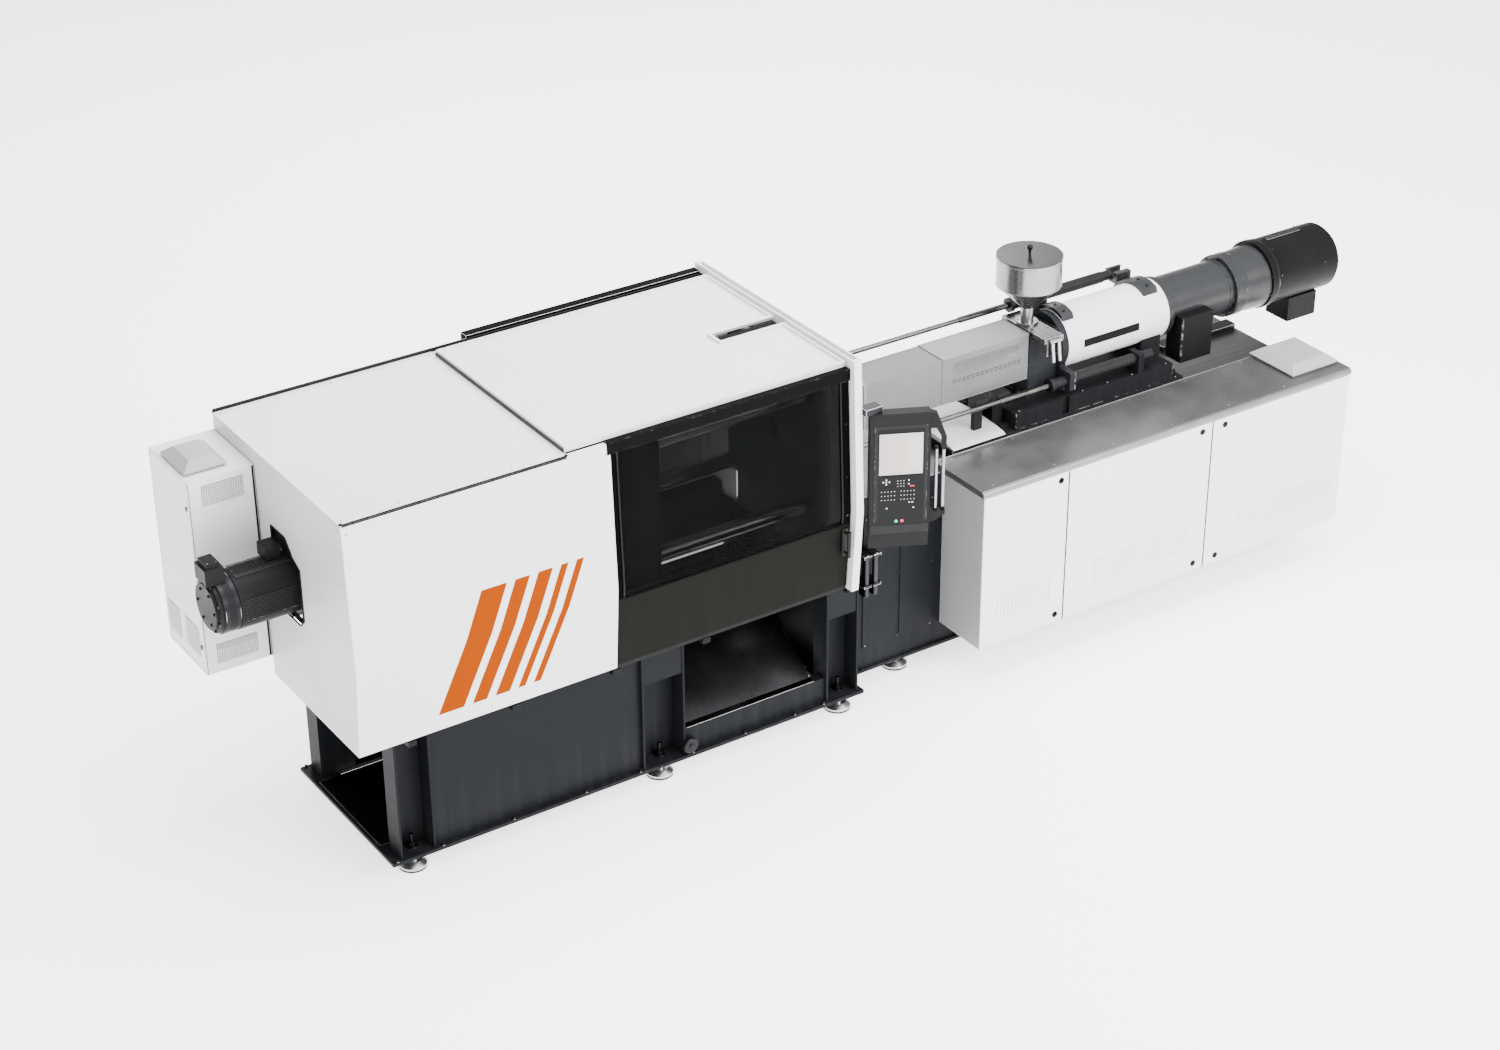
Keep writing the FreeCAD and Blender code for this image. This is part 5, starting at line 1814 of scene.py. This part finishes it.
@dataclass
class ElectricalCabinet(Assembly):
    """Long cabinet in front of the injection base."""

    doors: Sequence[CabinetDoor] = (
        CabinetDoor("cabinet_door_1", (3660, 4050), 4076.0, (4128.0, 4134.0)),
        CabinetDoor("cabinet_door_2", (4330, 5040), 5092.0, (5163.0, 5169.0)),
        CabinetDoor("cabinet_door_3", (5400, 6150), 5260.0))
    top_z: float = 1222.0
    end_x: float = 3546.0
    top_screws_y: Span = (-650.0, -285.0)
    end_screws_y: Span = (-660.0, -370.0)
    end_screws_z: Sizes = (300.0, 700.0, 1120.0)

    def pieces(self) -> List[Piece]:
        """Lists the pieces in the order they are built."""
        locks = tuple("lock_%d_%s" % (k, end) for k in (1, 2, 3) for end in ("low", "high"))
        lip = [((3543.0, 6224.0), (-258.0, -255.4), (1222.0, 1226.0)),
               ((3541.0, 3543.0), (-690.0, -258.0), (1216.0, 1224.0))]
        top = [((x, y, self.top_z), UP) for x in range(3640, 5800, 420) for y in self.top_screws_y]
        end = [((self.end_x, y, z), LEFT) for y in self.end_screws_y for z in self.end_screws_z]
        screen = ((5862.0, 6183.0), (-593.0, -257.0), (1222.0, 1234.0))
        return [
            Carried(CABINET_END, ("electrical_cabinet",), 1.4),
            Carried(WHITE, tuple(door.name for door in self.doors), 1.0),
            Carried(RUBBER, locks, 0.8),
            Carried(CABINET_TOP, ("cabinet_top",), 2.0),
            *(door.louvres() for door in self.doors),
            *(part for door in self.doors for part in door.fittings()),
            Blocks("cabinet_top_lip", "frame", LIP_STEEL, "steel", lip, 0.8),
            Screws("cabinet_top_screws", "frame", top, 5.0, 2.4),
            Screws("cabinet_end_screws", "frame", end, 5.0, 2.4),
            Blocks("vent_screens", "frame", DARK, "motor_black", [screen], 0.5),
        ]


@dataclass
class PurgeGuard(Assembly):
    """Guard over the nozzle and barrel, with its hood and tray."""

    guard_x: Span = (2950.0, 3177.0)
    hood_x: Span = (3689.0, 4284.0)
    half_width: float = 117.0
    floor_z: float = 1463.0
    roof_z: float = 1735.0
    screws_x: Span = (2975.0, 3110.0)
    slots_z: Span = (1578.0, 1592.0)

    def fixed(self) -> List[Piece]:
        """Lists the plates and the grille of the fixed part."""
        side = -self.half_width
        top = (self.guard_x, (-116.0, 116.0), (1735.2, 1739.0))
        sides = [(self.guard_x, (-121.0, -113.0), (1552.0, 1558.0)),
                 (self.guard_x, (side, -113.0), (self.floor_z, self.floor_z + 6.0)),
                 ((self.guard_x[1] - 14.0, self.guard_x[1]), (side, -113.0),
                  (self.floor_z + 6.0, self.roof_z))]
        return [
            Blocks("purge_guard_top", "frame", GUARD_PLATE, "light_grey", [top], 1.0),
            Blocks("purge_guard_side", "frame", GUARD_PLATE, "light_grey", sides, 0.8),
            Grille("purge_guard_grille", "frame", [((3040.0, -113.0, 1508.0), RIGHT, UP, (150.0, 76.0))],
                   GUARD_PLATE, "light_grey", 8.0, 4.6),
        ]

    def hood(self) -> List[Piece]:
        """Lists the grille, slots and edge strips of the sliding hood."""
        slots = [((x, x + 24.0), (-117.4, -116.0), (z, z + 3.4)) for z in self.slots_z
                 for x in range(3760, 4230, 32)]
        edges = [((self.hood_x[0], 3692.0), (-118.0, 118.0), (1738.2, 1741.0)),
                 ((4281.0, 4284.4), (-118.0, 118.0), (1738.2, 1741.0)),
                 (self.hood_x, (-118.6, -116.2), (self.floor_z, 1467.0))]
        return [
            Grille("purge_hood_grille", "purge_hood", [((4000.0, -116.3, 1664.0), RIGHT, UP, (470.0, 66.0))],
                   GUARD_PLATE, "light_grey", 14.0, 6.6),
            Blocks("purge_hood_slots", "purge_hood", DARK, "motor_black", slots, 0.3),
            Blocks("purge_hood_edges", "purge_hood", GUARD_PLATE, "light_grey", edges, 0.6),
        ]

    def pieces(self) -> List[Piece]:
        """Lists the pieces in the order they are built."""
        faces = ((-self.half_width, 1466.0, FRONT), (-100.0, 1739.0, UP), (100.0, 1739.0, UP))
        screws = [((x, y, z), normal) for x in self.screws_x for y, z, normal in faces]
        switches = [((3870.0, 3967.0), (-190.0, -122.0), (1405.0, 1462.0)),
                    ((4020.0, 4110.0), (-190.0, -122.0), (1405.0, 1462.0)),
                    ((3890.0, 3950.0), (-150.0, -120.0), (1240.0, 1405.0)),
                    ((4040.0, 4090.0), (-150.0, -120.0), (1240.0, 1405.0))]
        return [
            Carried(GUARD_MESH, ("purge_guard", "purge_hood"), 1.0),
            Carried(TRAY, ("purge_tray",), 0.8),
            *self.fixed(),
            *self.hood(),
            Screws("purge_guard_screws", "frame", screws, 4.0, 2.4, BLACK_STEEL, "steel"),
            Blocks("limit_switches", "frame", BLACK_PLASTIC, "motor_black", switches, 3.0),
        ]


@dataclass
class InjectionUnit(Assembly):
    """Carriage, barrel, housings and drives."""

    body: str = "injection_unit"
    motor_z: float = 1603.0
    strap_radius: float = 197.0
    straps_x: Span = (4568.0, 5173.0)
    strap_screws_y: Sizes = (-66.0, 12.0, 92.0)
    flange_x: float = 5770.0
    shoulder_x: float = 6032.0
    motor_end: float = 6545.0
    motor_radius: float = 195.0
    motor_screws_x: Span = (6110.0, 6440.0)
    motor_screws_turn: Sizes = (1.1, 2.05, 2.9, 3.75)
    carriage_top: float = 1340.0
    bed_top: float = 1240.0
    bed_screws_y: float = 232.0
    base_top: float = 1190.2
    trunk_x: Span = (5500.0, 6060.0)
    trunk_y: Span = (120.0, 200.0)

    def strap_screws(self) -> Piece:
        """Lists the screws on the round backs of the saddle straps."""
        places = []
        for x in self.straps_x:
            for y in self.strap_screws_y:
                rise = math.sqrt(self.strap_radius ** 2 - y * y)
                places.append(((x, y, AXIS_Z + rise - 1.0), Vector((0.0, y, rise)).normalized()))
        return Screws("strap_screws", self.body, places, 9.0, 7.0, BLACK_STEEL, "motor_black")

    def drive(self) -> List[Piece]:
        """Lists the screws and turned rings of the drive housing."""
        flange = circle(self.flange_x, 172.0, 10, AXIS_Z, LEFT, 0.3) \
            + circle(self.shoulder_x, 191.0, 10, AXIS_Z, LEFT, 0.3)
        housing = ((5306.0, 161.5), (5320.0, 161.5), (5320.0, 160.6), (5738.0, 160.6), (5738.0, 163.5),
                   (5768.0, 163.5))
        shoulder = ((5782.0, 186.2), (5800.0, 186.2), (5800.0, 185.4), (5830.0, 185.4), (5830.0, 186.2),
                    (5848.0, 186.2))
        centre = [(0.0, 0.0, AXIS_Z)]
        return [
            Screws("drive_flange_screws", self.body, flange, 6.5, 6.0, BLACK_STEEL, "motor_black"),
            Turnings("drive_housing_rings", self.body, DRIVE, "motor_black", housing, centre, Axis.X, 96,
                     0.8),
            Turnings("drive_shoulder_rings", self.body, DRIVE, "motor_black", shoulder, centre, Axis.X, 96,
                     0.5),
        ]

    def motor(self) -> List[Piece]:
        """Lists the dosing motor's ring, screws, key strip and cable glands."""
        r, z = self.motor_radius, self.motor_z
        ring = ((6070.0, 198.0), (6080.0, 198.0), (6080.0, 196.0), (6092.0, 196.0))
        around = [((x, r * math.cos(t), z + r * math.sin(t)), Vector((0.0, math.cos(t), math.sin(t))))
                  for x in self.motor_screws_x for t in self.motor_screws_turn]
        boxes = [((x, -228.0, z), FRONT) for x in (5338.0, 5532.0) for z in (1330.0, 1574.0)] \
            + [((x, -125.0, z), FRONT) for x in (6256.0, 6444.0) for z in (1304.0, 1396.0)]
        gland = ((1312.0, 17.0), (1302.0, 17.0), (1302.0, 13.0), (1286.0, 13.0))
        return [
            Turnings("motor_end_ring", self.body, BLACK_STEEL, "motor_black", ring, [(0.0, 0.0, z)], Axis.X,
                     96, 0.8),
            Screws("motor_end_screws", self.body, circle(self.motor_end, 186.0, 8, z, RIGHT, 0.39), 6.0, 5.0,
                   BLACK_STEEL, "motor_black"),
            Screws("motor_body_screws", self.body, around, 7.0, 3.0, BLACK_STEEL, "motor_black"),
            Blocks("motor_key_strip", self.body, BLACK_STEEL, "motor_black",
                   [((6142.0, 6394.0), (-11.0, 11.0), (1801.0, 1803.0))], 0.8),
            Screws("motor_box_screws", self.body, boxes, 5.0, 2.4, DARK, "motor_black"),
            Turnings("motor_glands", self.body, BLACK_PLASTIC, "motor_black", gland,
                     [(5385.0, -165.0, 0.0), (5470.0, -165.0, 0.0)], Axis.Z, 24),
        ]

    def carriage(self) -> List[Piece]:
        """Lists the screws of the barrel holder and carriage, and the wipers and screws of the slide bed."""
        holder = [((x, y, 1718.0), UP) for x in (4310.0, 4470.0) for y in (-92.0, 92.0)] \
            + [((x, -116.0, z), FRONT) for x in (4312.0, 4470.0) for z in (1380.0, 1520.0, 1690.0)]
        top = [((x, y, self.carriage_top), UP) for y in (-222.0, 222.0)
               for x in (4150.0, 4600.0, 4780.0, 4960.0, 5210.0)]
        bed = [((x, s * self.bed_screws_y, self.bed_top), UP) for s in (-1, 1)
               for x in range(3720, 5320, 260)]
        wipers = [((4052.0, 4059.0), (y - 24.0, y + 24.0), (1240.0, 1263.0)) for y in (-170.0, 170.0)]
        return [
            Screws("holder_screws", self.body, holder, 7.0, 5.0, BLACK_STEEL, "iron"),
            Screws("carriage_screws", self.body, top, 8.0, 6.0, BLACK_STEEL, "base_dark"),
            Blocks("bed_wipers", "frame", RUBBER, "trim_dark", wipers, 1.0),
            Screws("bed_screws", "frame", bed, 8.0, 6.0, BLACK_STEEL, "base_dark"),
        ]

    def base_top_pieces(self) -> List[Piece]:
        """Lists the plates on the injection base, and the closed trunking with its screws."""
        low = self.base_top
        plates = [((5345.0, 6076.0), (-252.0, 330.0), (low, 1193.0)),
                  ((2900.0, 3655.0), (-330.0, 330.0), (low, 1192.4))]
        (x0, x1), (y0, y1) = self.trunk_x, self.trunk_y
        trunk = [(self.trunk_x, self.trunk_y, (1193.2, 1226.0)),
                 ((x0 - 4.0, x1 + 4.0), (y0 - 3.0, y1 + 3.0), (1226.0, 1230.0))]
        screws = [((x, y, 1230.0), UP) for x in (x0 + 30.0, 5780.0, x1 - 30.0) for y in (y0 + 8.0, y1 - 8.0)]
        return [
            Blocks("base_top_plate", "frame", TOP_STEEL, "steel", plates, 0.6),
            Blocks("cable_trunking", "frame", BLACK_STEEL, "trim_dark", trunk, 1.2),
            Screws("trunking_screws", "frame", screws, 4.0, 2.4, BLACK_STEEL, "trim_dark"),
        ]

    def pieces(self) -> List[Piece]:
        """Lists the pieces in the order they are built."""
        return [
            Carried(BED, ("slide_bed", "carriage"), 2.4, 3),
            Carried(HOLDER_IRON, ("barrel_holder",), 3.0, 3),
            Carried(BARREL_STEEL, ("barrel",), 2.0),
            Carried(SHAFT, ("screw", "screw_carrier"), 0.4),
            Carried(WHITE, ("injection_housing",), 1.6),
            Carried(DRIVE, ("saddle_clamps",), 3.0, 3),
            Carried(DRIVE, ("drive_housing",), 3.0, 3),
            Carried(DOSING_IRON, ("dosing_motor",), 3.0, 3),
            Carried(ROD_STEEL, ("guide_rods",), 1.0),
            Carried(CYLINDER, ("carriage_cylinders",), 1.5),
            # painted shade: a dark sheet in the slot of the housing
            Blocks("slot_lining", self.body, DARK, "trim_dark",
                   [((4630.0, 5048.0), (-168.0, -164.6), (1573.0, 1631.0))], 0.4),
            self.strap_screws(),
            *self.drive(),
            *self.motor(),
            *self.carriage(),
            *self.base_top_pieces(),
        ]


@dataclass
class Hopper(Assembly):
    """Hopper on its cross slide."""

    x: float = 4360.0
    flange_z: float = 1757.0
    flange_screws: float = 52.0
    bead_radius: float = 184.6
    slide_screws_x: Span = (4308.0, 4412.0)
    slide_screws_y: Sizes = (-225.0, -120.0, 120.0)
    slide_z: float = 1745.0
    lever_radius: float = 11.0

    def pieces(self) -> List[Piece]:
        """Lists the pieces in the order they are built."""
        turns = [math.pi / 2 * k + 0.8 for k in range(4)]
        flange = [((self.x + self.flange_screws * math.cos(t), self.flange_screws * math.sin(t),
                    self.flange_z), UP)
                  for t in turns]
        knob = ((2160.0, 7.0), (2178.0, 7.5), (2184.0, 10.0), (2190.0, 14.0), (2198.0, 16.4), (2206.0, 15.0),
                (2212.0, 10.5), (2215.6, 4.0))
        r = self.bead_radius
        bead = ((1982.0, r), (1984.0, r + 1.0), (1987.0, r + 1.0), (1989.0, r))
        levers = [((4338.0 + step, -258.0, 1722.0), (4346.0 + step, -264.0, 1606.0)) for step in (0.0, 44.0)]
        cross = ((4322.0, -258.0, 1731.0), (4400.0, -258.0, 1731.0))
        slide = [((x, y, self.slide_z), UP) for x in self.slide_screws_x for y in self.slide_screws_y]
        return [
            Carried(HOPPER_STEEL, ("hopper_body",), 0.8),
            Carried(LID_STEEL, ("hopper_lid",), 0.8),
            Carried(SLIDE_STEEL, ("hopper_slide",), 1.5),
            Turnings("lid_knob", "hopper_lid", BLACK_PLASTIC, "trim_dark", knob, [(self.x, 0.0, 0.0)], Axis.Z,
                     32, 0.0),
            Turnings("hopper_beads", "hopper", BEAD_STEEL, "steel", bead,
                     [(self.x, 0.0, 0.0), (self.x, 0.0, 150.0)], Axis.Z, 96, 0.0),
            Rods("feed_levers", "hopper", CHROME, "chrome", levers + [cross], self.lever_radius, 28),
            Screws("hopper_flange_screws", "hopper", flange, 5.5, 5.0, SCREW_STEEL, "steel"),
            Screws("hopper_slide_screws", "hopper", slide, 5.5, 5.0, SCREW_STEEL, "steel"),
        ]


# ------------------------------------------------------------------ studio
@dataclass
class Studio:
    """Pale floor, soft lights and the camera."""

    camera_at: Point = (-5173.0, -11597.0, 8841.0)
    azimuth: float = -33.494
    elevation: float = 29.307
    roll: float = -0.4
    lens: float = 71.04

    def floor(self) -> None:
        """A plain pale floor, wide enough to fill the view."""
        bpy.ops.mesh.primitive_plane_add(size=160.0, location=(0.0, 0.0, 0.0))
        ground = Bench.settle("studio_floor")
        g = Graph("studio_floor_finish")
        ground.data.materials.append(g.finish({"Base Color": (0.93, 0.93, 0.93, 1.0), "Roughness": 0.9,
                                               "Specular IOR Level": 0.1,
                                               "Emission Color": (1.0, 1.0, 1.0, 1.0),
                                               "Emission Strength": 1.9}))

    def lamp(self, name: str, place: Point, aim: Point, size: Tuple[float, float], power: float) -> None:
        """One soft rectangular light aimed at a point.

        Args:
            name: The lamp's name.
            place: Where it stands, in metres.
            aim: The point it looks at, in metres.
            size: Width and height, in metres.
            power: Power, in watts.
        """
        data = bpy.data.lights.new(name, "AREA")
        data.shape, data.size, data.size_y, data.energy = "RECTANGLE", size[0], size[1], power
        lamp = bpy.data.objects.new(name, data)
        bpy.context.collection.objects.link(lamp)
        lamp.location = place
        lamp.rotation_euler = (Vector(aim) - Vector(place)).to_track_quat("-Z", "Y").to_euler()

    def lights(self) -> None:
        """An even pale surround and four soft boxes."""
        bpy.context.scene.world = Surround("studio_surround").light(0.45, 2.6)
        self.lamp("key", (3.5, -9.0, 6.5), (0.0, 0.0, 1.0), (7.0, 4.0), 2100.0)
        self.lamp("overhead", (0.5, -0.5, 8.0), (0.5, 0.0, 0.0), (9.0, 5.0), 1300.0)
        self.lamp("side", (-10.0, -3.0, 4.0), (-2.0, 0.0, 1.2), (4.0, 3.0), 60.0)
        self.lamp("rear", (4.0, 9.0, 6.0), (1.0, 0.0, 1.0), (8.0, 3.0), 700.0)

    def camera(self) -> None:
        """The camera, at the viewing angle of the finished picture."""
        a, e = math.radians(self.azimuth), math.radians(self.elevation)
        back = Vector((math.sin(a) * math.cos(e), -math.cos(a) * math.cos(e), math.sin(e)))
        right = UP.cross(back).normalized()
        above = back.cross(right)
        c, s = math.cos(math.radians(self.roll)), math.sin(math.radians(self.roll))
        turn = Matrix((right * c + above * s, above * c - right * s, back)).transposed().to_4x4()
        data = bpy.data.cameras.new("view")
        data.sensor_fit, data.sensor_width, data.lens = "HORIZONTAL", 36.0, self.lens
        data.clip_end = 300.0
        camera = bpy.data.objects.new("view", data)
        bpy.context.collection.objects.link(camera)
        camera.matrix_world = Matrix.Translation(at(*self.camera_at)) @ turn
        bpy.context.scene.camera = camera

    def build(self) -> None:
        """Builds the floor, the lights and the camera."""
        self.floor()
        self.lights()
        self.camera()


def main() -> None:
    """Builds every sub-assembly in order."""
    for part in PARTS:
        part.build()
        log.info("%s done", type(part).__name__)


PARTS = (ClampBase(), ClampGuard(), Doors(), DriveEnd(), ClampUnit(), OperatorPanel(), ElectricalCabinet(),
         PurgeGuard(), InjectionUnit(), Hopper(), Studio())

if __name__ == "__main__":
    main()
